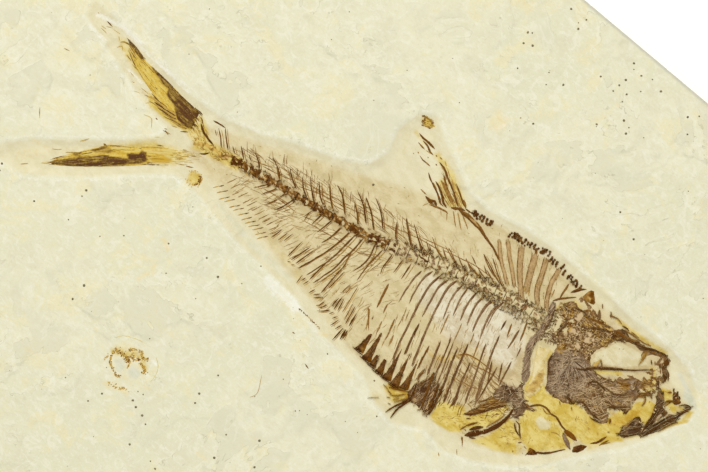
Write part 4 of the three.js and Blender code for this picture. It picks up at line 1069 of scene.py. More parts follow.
def make_head():
    skull = Heap()
    crown_zone = path(36, 2, 36, 8, 42, 9, 46, 8.4, 46, 6, 44.4, 4, 44.2, 1.6, 40, 0.8)
    plaque(skull, SKULL, 0.22, 0.22, 0.3, patched(0.55, SKULL_PATCHES, speckle=crown_zone), [ORBIT])
    cheek = path(39.4, 0.2, 39.2, -2, 41, -5.8, 45, -5.8, 46.6, -1, 43.4, 1.4, 40.4, 2)
    snout = path(45, -5.4, 51.6, -6, 50.6, -3.8, 54, -2.6, 54, 0, 50, 0.8, 45.6, -0.6)
    crown = path(36.4, 7.6, 36, 2, 40, 0.8, 44, 1.2, 44.4, 4, 46, 6.6, 46, 8.2, 42, 8.6, 38, 8)
    ochre = path(35.2, 5.8, 35.4, 7.6, 37, 8.8, 38.8, 9.2, 38.6, 7.6, 37.4, 6)
    # The bare patches and the pale ones, most of them painted highlights, stay free of splinters.
    bare = [patch for patch in SKULL_PATCHES if patch[0] in ("bare", "pale")]
    splinters(skull, ochre, 90, 60, 0.6, 0.18, 114, (-0.2, 0.8), 0.0, 0.34, 60, 0.9, skip=bare)
    rust = path(41, 8.6, 44, 8.2, 47.5, 8, 50, 8, 46.5, 6.4, 43.6, 5.6, 41, 6.4)
    face = path(53.6, 0.4, 56.4, 1.4, 57, 4.8, 56, 6.6, 54.6, 6.4, 54.2, 4.6, 52, 1.6)
    for turn, number in ((28, 260), (75, 160), (120, 120)):
        splinters(skull, cheek, number, turn, 1.5, 0.12, 101 + turn, (-0.3, 0.75), 1.0, 0.4, 18)
    for turn, number in ((24, 300), (60, 120), (-40, 100)):
        splinters(skull, snout, number, turn, 1.6, 0.13, 102 + turn, (-0.2, 0.85), 0.25, 0.4, 16, 0.45)
    splinters(skull, crown, 560, 50, 0.5, 0.13, 103, (0.1, 1.2), 0.3, 0.4, 80, 0.6, skip=bare)
    splinters(skull, crown, 260, 50, 0.34, 0.24, 110, (-1.1, -0.3), 0.1, 0.44, 80, 0.7, skip=bare)
    splinters(skull, rust, 120, 10, 0.9, 0.16, 113, (0.3, 1.1), 0.0, 0.44, 20, 1.0)
    ochre_band = path(40, 8, 42.4, 8.3, 43.6, 8.3, 43.2, 7.4, 42.2, 6.2, 41, 6.1, 40.2, 7)
    splinters(skull, ochre_band, 110, -8, 1.0, 0.24, 118, (0.1, 0.8), 0.0, 0.44, 20, 1.6)
    splinters(skull, path(44.2, 6.2, 46, 6.3, 46, 5.4, 45.2, 4.8, 44.2, 5), 40, 30, 0.6, 0.22, 119,
            (0.1, 0.7), 0.0, 0.44, 40, 1.3)
    splinters(skull, face, 90, 100, 0.5, 0.14, 104, (0.1, 1.1), 0.1, 0.44, 60, 0.9, skip=bare)
    splinters(skull, face, 40, 100, 0.4, 0.2, 117, (-0.9, -0.2), 0.0, 0.44, 60, 0.6)
    seeded = random.Random(105)
    for _ in range(70):
        turn, start, span = math.radians(seeded.uniform(-100, -5)), seeded.uniform(0.6,
                2.6), seeded.uniform(1.0, 2.8)
        ends = [(41.4 + r * math.cos(turn), 0.5 + r * math.sin(turn)) for r in (start, start + span)]
        splint(skull, ends, 0.1, 0.09, seeded.choice((-0.2, 0.0, 0.9)), 0.46, 1.0)
    strokes(skull, FACE_LINES, 0.5)
    skull.piece("skull_bones", "skull_bone", "skull", finish="skull_bone")

    lower = Heap()
    plaque(lower, LOWER_JAW, 0.32, 0.24, 0.1, patched(0.8, LOWER_JAW_PATCHES, 0.35))
    strokes(lower, JAW_LINES, 0.62)
    splinters(lower, LOWER_JAW, 70, 48, 1.2, 0.14, 106, (0.4, 1.1), 0.35, 0.5, 8, 0.2)
    splinters(lower, LOWER_JAW, 16, 48, 1.0, 0.1, 115, (-0.6, 0.1), 0.3, 0.54, 8)
    # Two pale grains as painted highlights: glints on the lower jaw.
    for x, y in ((56.9, -3), (56.6, -3.05)):
        grain_of(lower, *to_plate(x, y), surface(x, y) + 0.5, 0.15, 0.14, (-1.2, 0.0, 0.0))
    lower.piece("lower_jaw_bone", "brown_bone", "lower_jaw", finish="skull_bone")

    upper = Heap()
    plaque(upper, UPPER_JAW, 0.3, 0.24, 0.1, patched(0.8, UPPER_JAW_PATCHES, 0.3))
    strokes(upper, [
        (0.4, 0.3, 1.1, 57.9, 0.6, 58, -1, 57.9, -2.6, 57.8, -4.6),
        (0.3, 0.2, 1.0, 58.5, 0.6, 58.5, -1, 58.2, -3),
    ], 0.6)
    splinters(upper, UPPER_JAW, 60, 75, 1.0, 0.14, 107, (0.3, 1.1), 0.3, 0.48, 12, 0.2)
    # Three pale grains as painted highlights: glints on the upper jaw.
    for x, y in ((57.9, 0.08), (57.95, -0.45), (57.6, -3.8)):
        grain_of(upper, *to_plate(x, y), surface(x, y) + 0.5, 0.17, 0.14, (-1.4, 0.0, 0.0))
    upper.piece("upper_jaw_bone", "brown_bone", "upper_jaw", finish="skull_bone")

    snout_tip = Heap()
    plaque(snout_tip, SNOUT_CHIP, 0.24, 0.18, 0.05, patched(0.85, [("gold", 60.8, 3.1, 0.5, 0.5),
            ("gold", 59.2, 1.8, 0.5, 0.5), ("pale", 60, 3.5, 0.15, 0.2)], 0.1))
    strokes(snout_tip, SNOUT_LINES, 0.42)
    snout_tip.piece("snout_chips", "brown_bone", "snout_bone")

    gill = Heap()
    plaque(gill, GILL_COVER, 0.16, 0.32, 0.2, patched(0.3, [("pale", 36.8, -4, 0.7, 1.0),
            ("gold", 38.6, -6, 0.7, 2.4)], 0.0, 0.3, 0.35))
    splint(gill, path(35.6, -0.3, 36.6, -3.2, 37.3, -5.6, 37.2, -7.6, 38.4, -9.6), 0.16, 0.16, 0.4, 0.2)
    gill.piece("gill_cover_bone", "pale_bone", "gill_cover")

    shoulder = Heap()
    band_line = path(34.3, 7, 35, 4.5, 34.9, 1.5, 34.5, 0, 34.6, -1.5, 35.3, -3.6, 36.3, -5.6, 36.8, -7)
    splint(shoulder, band_line, 0.85, 1.2, 0.5, 0.26, 0.9)
    offset = [(x + 0.35, y) for x, y in band_line[:5]]
    splint(shoulder, offset, 0.35, 0.35, 0.9, 0.34, 0.2)
    splinters(shoulder, path(34, 6.6, 34.6, 3, 34.2, 0, 34.4, -2, 36, -6.4, 37, -7, 36.4, -5, 35.4, -2.4,
            35.2, 0, 35.6, 3.6, 35, 6.8), 150, 88, 1.3, 0.12, 108, (-0.3, 0.9), 1.0, 0.44, 12)
    seam = path(
        35.4, 0.4, 35.4, 3, 35.4, 7, 36.4, 8.6, 37.6, 8, 37.4, 5.4, 36.4, 3.4, 38.4, 2.6, 38.4, 1, 37, 0.6,
    )
    splinters(shoulder, seam, 240, 60, 0.5, 0.16, 109, (0.0, 1.1), 0.7, 0.3, 80, 0.4)
    shoulder.piece("shoulder_girdle", "skull_bone", "shoulder_bone")

    blade = Heap()
    plaque(blade, SHOULDER_BLADE, 0.26, 0.3, 0.35, patched(0.55, [("pale", 37, -8.9, 0.4, 0.3),
            ("dark", 35.4, -9.4, 1.2, 0.5), ("dark", 39.6, -10.4, 0.8, 0.4)], 0.5))
    splinters(blade, SHOULDER_BLADE, 75, 20, 1.5, 0.26, 111, (0.4, 1.0), 0.6, 0.28, 35)
    splinters(blade, SHOULDER_BLADE, 90, 30, 1.0, 0.14, 112, (-0.5, 1.0), 0.7, 0.5, 50, 0.2)
    blade.piece("shoulder_blade_bone", "skull_bone", "shoulder_blade")

    upper_throat = Heap()
    strokes(upper_throat, [
        (0.34, 0.3, 0.8, 0.2, 39.2, -10.4, 40.2, -9.4, 41, -8.9, 42.2, -8.8, 43.2, -9.3, 44.2, -9.3,
         45.2, -9.8, 46, -10.2, 47, -10.4), (1.0, 0.7, 0.9, 0.9, 46.6, -10.5, 47.8, -10.7, 49.2, -11),
        (0.3, 0.2, 0.5, 41.6, -9.1, 42.6, -9.6, 43.2, -9.4),
        (0.5, 0.4, 0.55, 38.6, -9.9, 39.8, -10.2, 40.7, -10.1),
        (0.14, 0.12, 0.35, 0.6, 44.8, -11.9, 45.6, -11.6, 46.6, -11.8),
    ], 0.26)
    upper_throat.piece("upper_throat_bones", "brown_bone", "upper_throat_bone")

    lower_throat = Heap()
    plaque(lower_throat, path(42.8, -15.7, 43.1, -17.5, 44.2, -16.8, 45, -16.1, 44, -15.8), 0.28, 0.24, 0.05,
            patched(0.8, [("gold", 43.2, -16.2, 0.4, 0.5), ("dark", 44.2, -16.2, 0.5, 0.3)]))
    strokes(lower_throat, [
        (0.4, 0.2, 0.95, 44.2, -16.1, 45.4, -15.6, 46.4, -14.9, 47.4, -14, 48.3, -13.2),
        (0.34, 0.2, 0.8, 40.9, -16.2, 41.4, -15.8), (0.2, 0.2, 0.3, 42, -16.2, 42.6, -16.4),
        (0.3, 0.2, 0.6, 0.6, 40.8, -17.7, 40.9, -18), (0.3, 0.2, 1.0, 43, -17.4, 43.4, -16.2),
    ], 0.28)
    lower_throat.piece("lower_throat_bones", "brown_bone", "lower_throat_bone")

    lens = Heap()
    strokes(lens, [
        (0.8, 0.5, 0.6, 46.6, -11, 47.8, -12, 49, -12.8), (0.14, 0.12, -0.3, 46.6, -11, 47.4, -11.9),
    ], 0.3, 0.8)
    strokes(lens, [
        (0.26, 0.26, 0.8, 0.3, 38.7, -13.2, 39.6, -13.5, 40.2, -14.4, 40.9, -15.4),
        (0.26, 0.3, 0.95, 0.3, 38.7, -13.6, 39.4, -14.4, 40.5, -15.1),
        # The pale stroke in the lens's middle is a painted highlight, a glint.
        (0.24, 0.16, -0.3, 38.9, -13.5, 39.6, -14.3),
    ], 0.3)
    lens.piece("throat_splints", "skull_bone", "throat_splint")

    wedge = Heap()
    plaque(wedge, path(49.4, -13.2, 49.1, -12.1, 50.1, -11.1, 51.3, -10.8, 51.1, -11.8, 50.3, -12.8), 0.3,
            0.2, 0.05, patched(0.95))
    wedge.piece("throat_wedge_bone", "brown_bone", "throat_wedge")

    chin = Heap()
    strokes(chin, [
        (0.3, 0.4, 0.9, 0.3, 51.4, -10.3, 52.2, -9.6, 52.8, -8.6, 53.2, -7.9),
        (0.3, 0.24, 0.8, 0.8, 52.8, -9.8, 53.4, -8.9, 53.8, -8.3),
        (0.24, 0.2, 0.6, 1.0, 53.2, -9.4, 54.2, -8.5), (0.3, 0.2, 0.8, 52.9, -7.2, 53.3, -7),
        (0.3, 0.2, 0.6, 1.0, 51.8, -9.8, 52.6, -9.2),
    ], 0.24)
    chin.piece("chin_splints", "brown_bone", "chin_splint")

    crest = Heap()
    # The crest's small pale patch is a painted highlight, a glint.
    plaque(crest, path(37.8, 9.9, 38.2, 11.2, 38.7, 12, 39.3, 12.1, 39.9, 11.3, 40.5, 10.5, 40.4, 9.9,
            39.2, 9.8), 0.26, 0.24, 0.05, patched(0.5, [("dark", 39.9, 10.4, 0.5, 0.5),
            ("dark", 39.2, 11.5, 0.5, 0.5), ("pale", 39.4, 10.5, 0.2, 0.2)], 0.0, 0.5))
    crest.piece("crest_bones", "brown_bone", "skull_crest")


# ---------------------------------------------------------------- backbone

COLUMN_MIDDLE = path(
    -31, 0.5, -22.5, 0.95, 1.5, 1.05, 5, 1.5, 11, 2.25, 15, 3, 19, 3.25, 24, 3.7, 28, 4.1, 34, 3.7,
)
COLUMN_DEPTH = path(-31, 1.5, -22.5, 1.8, 1.5, 1.9, 5, 2.3, 11, 2.3, 15, 2.5, 24, 1.8, 34, 2.3)
VERTEBRA_PITCH = 1.75
# A centrum's stations, as shares of the pitch, with how far it flares there, and its section's places.
CENTRUM = [(-0.47, 0.86), (-0.4, 1.0), (-0.25, 0.8), (0.0, 0.66), (0.25, 0.8), (0.4, 1.0), (0.47, 0.86)]
CENTRUM_ARC = [-0.5, -0.42, -0.28, -0.1, 0.05, 0.2, 0.36, 0.5]

# Each spine runs from its tip to the column.
NEURAL = [
    (0.2, 0.25, 0.7, -28.9, 3.8, -28.2, 3), (0.2, 0.3, 0.8, -28.5, 4.3, -27.4, 3, -26.5, 1.7),
    (0.2, 0.3, 0.8, -27.6, 4.9, -26.4, 3.2, -25.3, 1.9), (0.2, 0.3, 0.8, -25, 2.9, -24, 1.9),
    (0.2, 0.35, 0.9, -23.8, 3.6, -22.3, 1.9), (0.2, 0.3, 0.9, -22, 3, -21, 2.2),
    (0.2, 0.35, 0.9, -21.3, 3.8, -19.8, 2.6, -19.2, 1.6),
    (0.2, 0.3, 0.85, -18.3, 4.6, -17, 3.7, -16, 2.8, -15.4, 1.8), (0.2, 0.3, 0.6, -17, 3.6, -15.6, 2),
    (0.2, 0.35, 0.85, -15, 4.6, -13.8, 3.2, -12.2, 2), (0.2, 0.35, 0.85, -12.4, 4.3, -11.4, 2.8, -10, 1.6),
    (0.2, 0.35, 0.9, -11.3, 5, -10, 3.2, -8.6, 1.6), (0.2, 0.35, 0.9, -9.6, 5, -8.4, 3.2, -7, 1.8),
    (0.2, 0.35, 0.85, -7.9, 5.5, -6.6, 3.6, -5.2, 2), (0.2, 0.35, 0.9, -6.7, 6, -4.8, 4.6, -3.1, 2.3),
    (0.2, 0.35, 0.8, -3, 5.2, -1.2, 3.3, -0.5, 2), (0.2, 0.35, 0.9, -3.2, 6.8, -1.2, 5.2, 0.8, 2.7),
    (0.2, 0.35, 0.9, -1.5, 6.6, 0.5, 4.8, 2.4, 2.5), (0.2, 0.35, 0.9, 0, 7.3, 2, 5.6, 3.7, 3.2),
    (0.25, 0.35, 0.8, 5, 5.6, 6.2, 3), (0.2, 0.35, 0.85, 6, 7, 8, 4.5, 9.5, 3),
    (0.2, 0.35, 0.8, 7.7, 6.7, 10, 4.5, 12.5, 2.8), (0.15, 0.3, 0.6, 11.4, 6.4, 13, 5, 14.6, 4.2),
    (0.15, 0.3, 0.6, 14, 6.2, 16, 5, 17.4, 4.4), (0.2, 0.3, 0.7, 18, 6, 20, 5, 22, 4.4),
    (0.2, 0.3, 0.7, 20.3, 8.2, 23, 6.5, 25, 5.2), (0.2, 0.3, 0.75, 21.9, 8.4, 24.8, 5.7, 26.4, 4.6),
]

HAEMAL = [
    (0.2, 0.3, 0.8, -18.5, -1.4, -17, 0, -16.7, 0.6), (0.2, 0.3, 0.8, -16.9, -1.8, -15.4, 0, -15, 0.6),
    (0.2, 0.3, 0.8, -14, -0.9, -13.6, 0.4), (0.2, 0.3, 0.8, -15.5, -3, -14.6, -1.8, -14.1, -1),
    (0.2, 0.3, 0.9, -13.7, -2.9, -12.6, -1.5, -11.8, 0.2), (0.2, 0.3, 0.8, -8.9, -1.4, -8.1, 0.2),
    (0.2, 0.2, 0.6, -8.5, -2.1, -8.4, -0.5), (0.2, 0.35, 0.85, -7.1, -2.1, -6.6, -0.3, -6.4, 0.4),
    (0.2, 0.35, 0.85, -5.6, -2.5, -4.7, -0.1, -4.5, 0.5), (0.2, 0.35, 0.85, -4.1, -3.7, -3.2, -2, -2.6, 0.2),
    (0.3, 0.35, 0.85, -5.3, -9.2, -3.3, -5.8, -1.7, -2.3, -0.9, 0.3),
    (0.25, 0.35, 0.8, -3.6, -9.6, -1.5, -5.5, -0.6, -2.5, 0.1, 0.3),
    (0.25, 0.35, 0.8, -2, -10.2, -0.3, -6.7, 0.4, -4, 1.1, -1.9, 1.5, 0.4), (0.2, 0.25, 0.6, 1, -6, 1, -2.5),
    (0.25, 0.35, 0.8, 2.8, -5.2, 3.7, -3.2, 4, -1.5, 3.7, 0.6),
    (0.2, 0.35, 0.75, 4.1, -6.2, 4.5, -3, 5.3, 0.4), (0.2, 0.35, 0.8, 7, -3.3, 6.8, -2, 7.1, 0.6),
    (0.2, 0.35, 0.75, 8.7, -2, 9.1, 0.6), (0.2, 0.35, 0.75, 10.4, -2.3, 10.6, 0.8),
]

FRONT_SPINES = [
    (5, 5.6, 6.2, 3.4, 7, 2.6), (6.2, 6.9, 8, 4.8, 9.8, 2.8), (10.8, 5.3, 12, 4.2, 13, 3),
    (11.6, 5, 12.8, 3.8, 13.8, 3), (12.4, 5.4, 14.4, 4.2, 15.4, 3.6), (13.7, 5.8, 15.2, 4.4, 16, 4),
    (14.7, 6.2, 16.4, 5, 17.6, 4), (16.5, 6, 18, 4.8, 19, 4.2), (18, 6.2, 19.4, 5, 20.4, 4.6),
    (18.6, 7, 20, 6), (20.2, 8.2, 22, 6.8, 23.8, 5.8), (21.9, 8.3, 23.4, 7, 25, 5.6),
    (20, 6, 21.6, 5.2, 23, 4.6), (21.2, 6.6, 22.6, 5.4), (22, 6.2, 24, 5, 25, 4.6),
    (8, 4.6, 9, 3.6, 10, 2.6), (9.4, 5, 11.2, 3.2),
]

TENDONS = [
    (-19, 2.5, -16, 2.6, -13, 3), (-15, 3.3, -8, 3.8, -3, 4), (-10, 3.2, -5, 3.4, 0, 4),
    (-14.5, -0.9, -10.5, -1.4), (-9, -2, -3, -1.9, 2, -2, 5, -0.8), (-2, 4.8, 3, 4.4, 8, 3.9),
    (-21, 2.4, -17.4, 3.1), (4, 4.4, 9, 5, 14, 5), (-8, 2.7, -3, 2.9), (10, 5.4, 16, 6),
    (-17, -0.7, -12, -0.8), (14, 5.4, 20, 5.8, 24, 5.4), (-12, 2.6, -8.4, 3.2),
]


def along_column(table, x):
    return float(np.interp(x, [p[0] for p in table], [p[1] for p in table]))


def vertebra(heap, x, share):
    """A centrum pressed into the stone: flared at both ends, with a ridge along its waist."""
    middle, depth = along_column(COLUMN_MIDDLE, x), along_column(COLUMN_DEPTH, x)
    seeded = random.Random(round(x * 40))
    faded = ease(-23, -27, x)
    ink = 0.86 + seeded.uniform(-0.25, 0.25) - 0.75 * faded + 0.2 * ease(-17, -21, x) - 0.25 * ease(8, 20, x)
    grey = 0.8 * share * seeded.uniform(0.3, 1.0)
    gold = 0.9 * faded
    half = VERTEBRA_PITCH / 2
    slope = (along_column(COLUMN_MIDDLE, x + half) - along_column(COLUMN_MIDDLE, x - half)) / VERTEBRA_PITCH
    turn = math.atan(slope) + seeded.uniform(-0.12, 0.12)
    tall = 0.42 * (1 - 0.5 * faded) * seeded.uniform(0.85, 1.15)
    wobble = seeded.uniform(0.9, 1.08)
    made, lay, inks = [], [], []
    for i, (s, flare) in enumerate(CENTRUM):
        for k, a in enumerate(CENTRUM_ARC):
            across = a * depth * flare * wobble
            bulge = math.sqrt(max(0.0, 1 - (2 * a) ** 2))
            pit = 0.22 * rough(x + s * 2, a * 4, 0.5, 2, 71.0)
            ridge = 0.16 * (1 - abs(a - 0.05) * 3) if 2 <= i <= 4 and k in (3, 4, 5) else 0.0
            px = x + s * VERTEBRA_PITCH * math.cos(turn) - across * math.sin(turn)
            py = middle + s * VERTEBRA_PITCH * math.sin(turn) + across * math.cos(turn)
            base = surface(px, py)
            up = tall * (flare * bulge + ridge + pit * bulge) - (0.08 if bulge < 0.05 else 0.0)
            made.append((*to_plate(px, py), base + up))
            bared = 0.45 * share + 0.2 * faded - 0.55
            shown = ease(bared, bared + 0.5, rough(px, py, 0.7, 2, 77.0))
            lay.append((px, across, float(ease(0.0, 0.5, bulge) * shown)))
            glint = ease(0.1, 0.4, rough(px, py, 0.5, 3, 73.0))
            edge_line = 0.2 if flare == 1.0 else -0.1
            dark = ink - 0.7 * glint + edge_line + 0.5 * rough(px, py, 0.4, 2, 75.0)
            inks.append((dark, grey, max(gold, 0.3 - 0.3 * share)))
    faces, rim = sheet(len(CENTRUM), len(CENTRUM_ARC))
    *walls, floor = skirt(made, lay, inks, rim, 0.3)
    quads = [(b, c, d, a) for a, b, c, d in faces + walls]
    heap.add(made, [*quads, floor], lay, inks)


def make_backbone():
    column = Heap()
    count = math.floor((34 + 31) / VERTEBRA_PITCH)
    for k in range(count):
        x = -31 + (k + 0.5) * VERTEBRA_PITCH
        vertebra(column, x, ease(0, 10, x))
    for points, tip, root, ink in lines_of(NEURAL + HAEMAL):
        splint(column, points, tip * 0.8, root * 0.85, ink, 0.2, 0.0, 0.2)
        shift = 0.35 + 0.2 * math.sin(points[0][0] * 5)
        shifted = [(x + shift, y) for x, y in points]
        splint(column, shifted, tip * 0.4, root * 0.45, ink - 0.3, 0.12, 0.0, 0.8)
    for row in FRONT_SPINES:
        splint(column, path(*row), 0.16, 0.24, 0.62, 0.18, 0.2, 0.3)
    for row in TENDONS:
        splint(column, path(*row), 0.14, 0.14, 0.42, 0.08)
    strip = path(-23, -0.2, 2, -0.2, 14, 0.8, 34, 2, 34.4, 5.4, 26, 5.6, 14, 4.8, 1, 2.4, -23, 2.1)
    splinters(column, strip, 330, 45, 0.6, 0.15, 121, (0.5, 1.2), 0.2, 0.52, 80, 0.6)
    splinters(column, strip, 280, 45, 0.5, 0.14, 124, (-0.7, 0.2), 0.0, 0.5, 80, 1.0)
    base = path(-31, -0.4, -31, 1.8, -20, 2, -20, -0.4)
    splinters(column, base, 110, -20, 0.9, 0.12, 123, (-0.2, 0.7), 0.0, 0.24, 30, 1.0)
    front = path(8, 1, 20, 1.8, 33, 1.2, 35.4, 1, 35.4, 5.4, 26, 5.3, 14, 4.6, 8, 3.7)
    splinters(column, front, 300, 60, 0.7, 0.13, 122, (0.5, 1.1), 0.9, 0.46, 80, 0.2)
    # The pale slivers stand partly for cream bone and partly for painted highlights, glints on the column.
    splinters(column, front, 280, 60, 0.6, 0.15, 125, (-1.0, 0.1), 0.5, 0.44, 80)
    column.piece("backbone_bones", "brown_bone", "backbone")


# ---------------------------------------------------------------- ribs and the rest of the body

RIBS = [
    [(0.35, 0.25, 0.7, 12.7, 0.6, 12.2, -1, 12, -3.5, 12, -5.8)],
    [(0.35, 0.25, 0.7, 14.3, 1.5, 13.6, -0.2, 13.4, -3, 13.6, -5.2)],
    [(0.4, 0.3, 0.75, 15.8, 1.4, 15.1, -0.8, 15, -3, 15.1, -6, 15.6, -12, 16.2, -15.4)],
    [(0.4, 0.3, 0.75, 17.3, 1.6, 16.5, -0.3, 16.5, -4, 16.6, -6), (0.45, 0.3, 0.8, 16.7, -7.2, 16.9, -10,
     17.1, -13)], [(0.4, 0.4, 0.75, 18.7, 2.3, 17.9, 0.5, 17.9, -3, 18.2, -7, 18.6, -10, 19.3, -14)],
    [(0.35, 0.25, 0.65, 19.8, 2, 19.3, 0, 19.4, -2.3, 19.8, -4.7)],
    [(0.35, 0.25, 0.65, 20.8, 2, 20.6, 0, 20.8, -2, 21, -3.4), (0.3, 0.45, 0.7, 21.3, -8, 21.7, -11,
     22.2, -14)],
    [(0.4, 0.3, 0.7, 22.4, 2, 22.1, 0, 22.2, -2, 22.4, -3.4), (0.24, 0.3, 0.75, 22.5, -6.5, 23, -10,
     23.3, -13)],
    [(0.45, 0.3, 0.7, 23.9, 2.4, 23.4, 0.5, 23.5, -2, 23.8, -3.5), (0.24, 0.3, 0.7, 23.2, -7, 23.8, -11,
     24.4, -15)],
    [(0.5, 0.35, 0.75, 25.7, 2.5, 24.9, 1, 24.8, -1.5, 25.1, -4), (0.3, 0.5, 0.8, 24.3, -7.5, 24.8, -11,
     25.5, -15)],
    [(0.45, 0.3, 0.65, 26.6, 2, 26.2, 0.5, 26.3, -2, 26.8, -4.5), (0.3, 0.5, 0.85, 25.5, -6, 25.9, -10,
     26.5, -14.5)],
    [(0.35, 0.2, 0.6, 27.2, 3.3, 26.6, 1, 26.7, -2.2), (0.24, 0.4, 0.8, 27.3, -8.5, 27.7, -12, 28.3, -16)],
    [(0.4, 0.3, 0.7, 29, 0.5, 29, -1.4), (0.3, 0.4, 0.75, 29.3, -2.2, 29.8, -6, 31.6, -14.5),
     (0.25, 0.4, 0.7, 28, -4.5, 28.9, -9, 30, -15)],
    [(0.4, 0.3, 0.65, 31.7, 0.2, 31.6, -3.5), (0.3, 0.3, 0.65, 30.3, -6.5, 31.5, -10), (0.3, 0.3, 0.7,
     31.6, -7, 31.6, -13.5)],
    [(0.3, 0.25, 0.6, 33.4, -2.2, 33.6, -4), (0.3, 0.3, 0.65, 32, -6, 33, -9), (0.3, 0.3, 0.65, 33.2, -5,
     33.4, -9.5)],
]

# Broken rib ends low on the flank.
RIB_ENDS = [
    (0.24, 0.16, 0.5, 0.8, 8.4, -9.2, 8.9, -10.6, 9.6, -12.6), (0.3, 0.24, 0.6, 9.5, -10, 9.6, -10.6),
    (0.2, 0.16, 0.4, 11.1, -10, 11.3, -12, 11.5, -12.6), (0.24, 0.2, 0.7, 12.8, -9, 13, -10.6, 13.2, -12.4),
    (0.3, 0.2, 0.75, 15.3, -9, 15.5, -12, 15.8, -14.6),
    (0.3, 0.24, 0.75, 16.8, -9, 17.1, -11.6, 17.3, -12.8), (0.24, 0.24, 0.7, 18.4, -9, 18.7, -11, 19.1, -14),
    (0.34, 0.24, 0.8, 0.5, 20, -9.6, 20.1, -12, 20.2, -14),
    (0.2, 0.24, 0.6, 30, -8.6, 30.8, -12, 31.2, -13.6), (0.3, 0.5, 0.85, 28.1, -13.6, 28.3, -16.4),
    (0.3, 0.4, 0.85, 26.2, -13.4, 26.6, -15, 26.8, -16.6),
    (0.3, 0.3, 0.75, 21.3, -13.2, 21, -14.6, 21.1, -15.6),
    (0.12, 0.1, 0.0, -1.7, -27.8, -1, -30, -0.9, -31, -1.6, -31.9),
]

LOOSE_BONES = [
    (0.35, 0.25, 0.6, 30.1, 0.5, 30.5, -1.9), (0.4, 0.3, 0.6, 32.2, 2, 32.8, -1.4),
    (0.25, 0.15, 0.5, 24.9, -8.5, 26.5, -7.6, 29, -7.6, 31, -8),
    (0.2, 0.15, 0.45, 27, -8.8, 31, -8.5, 34, -8.8), (0.2, 0.15, 0.5, 27.6, -12, 29.6, -12, 31.6, -11.4),
    (0.3, 0.2, 0.5, 8, -9, 10, -12.4), (0.4, 0.3, 0.6, 9, -4, 9.1, -6, 9.3, -8.5),
    (0.3, 0.25, 0.5, 10.5, -7, 10.7, -8.7), (0.35, 0.2, 0.55, 12.8, -8.6, 13.2, -12),
    (0.2, 0.2, 0.35, 11.2, -10, 11.4, -12), (0.4, 0.3, 0.35, 14, -11, 14.2, -13),
    (0.25, 0.2, 0.4, 20.2, -3.4, 20.6, -7), (0.2, 0.2, 0.4, 22.9, -3.6, 23.2, -7),
    (0.2, 0.2, 0.4, 25.4, -4, 25.8, -6), (0.25, 0.2, 0.45, 26.8, -4.6, 27.4, -8),
    (0.5, 0.3, 0.75, 12.5, 12.7, 17, 11.6, 18.5, 11, 21, 9.9, 23.5, 8.3), (0.4, 0.3, 0.6, 35, 11, 34.9, 8),
    (0.35, 0.3, 0.75, 34.1, 7.2, 35.6, 8.6, 37.2, 9.7), (0.5, 0.35, 0.85, 36, 9.9, 37, 11, 38, 11.7),
    (0.3, 0.2, 0.4, 33.4, 9, 33.6, 7.6), (0.3, 0.3, 0.85, -29.2, -1, -28.4, -0.6, -27.8, 0),
    (0.25, 0.2, 0.6, -30, -3.9, -28.9, -3.5), (0.4, 0.3, 0.95, -31.5, 3.5, -30.4, 2.5, -29, 1.8, -27.8, 1.4),
    (0.35, 0.25, 0.95, -29.9, 4.9, -28.8, 5, -27.6, 4.9), (0.25, 0.2, 0.7, -26.2, -0.5, -25.6, -0.2),
    (0.25, 0.2, 0.7, -36, -0.5, -35.2, -0.9), (0.25, 0.2, 0.7, -38.4, 0.5, -38, 0.4),
    (0.25, 0.2, 0.9, -33.6, 0.7, -32.6, 1.2), (0.18, 0.14, 0.35, -57.4, 2.9, -56.4, 3),
    (0.3, 0.2, 0.5, -0.9, -19, -0.4, -19), (0.35, 0.2, 0.75, 3.6, -22.5, 4.5, -22.9),
    (0.25, 0.15, 0.5, 32.4, -20, 33.2, -21.4), (0.2, 0.15, 0.45, 32.6, -22.2, 33.1, -23),
    (0.25, 0.2, 0.3, 30.2, -24.2, 30.6, -24.7), (0.16, 0.14, 0.2, -56, -7.6, -55.1, -9.2),
]

PREDORSAL = [
    (0.6, 0.5, 0.75, 21.3, 11.5, 22.3, 10, 23.6, 8.4, 24.9, 7.1, 26.4, 5.6),
    (0.65, 0.45, 0.75, 22.6, 12.2, 24.2, 10, 26.2, 7.6, 27.4, 6),
    (1.05, 0.5, 0.8, 25.1, 12.6, 26.2, 10, 27.6, 7.6, 29, 5.6, 29.6, 4.6),
    (1.15, 0.7, 0.85, 27.7, 12.6, 28.4, 10, 29.1, 7.6, 29.6, 6),
    (0.95, 0.5, 0.85, 29.7, 12.8, 30.4, 10, 31, 7.4, 32.4, 5.2),
    (0.75, 0.45, 0.8, 32.5, 12.5, 32.4, 10, 33, 7.4, 34, 5.2),
]

BACK_SCUTES = path(
    16.7, 13.3, 17.3, 13.2, 17.9, 13.2, 18.5, 13.2, 18.9, 13.3, 22.5, 13.2, 23, 13.4, 23.9, 13.4, 25, 13.4,
    25.6, 13.2, 26.3, 13.4, 26.9, 13.5, 27.6, 13.2, 28.3, 13.6, 29, 13.7, 29.7, 13.7, 30.5, 13.1, 31, 12.9,
    31.6, 12.8, 32.7, 13, 33.4, 12.2, 34.4, 12, 35.1, 11.9, 35.6, 11.7, 36.2, 11.6, 36.8, 11.4, 24.4, 13.3,
    23.3, 13.5, 28.6, 13.6, 15.5, 13.3, 16.1, 13.1,
)

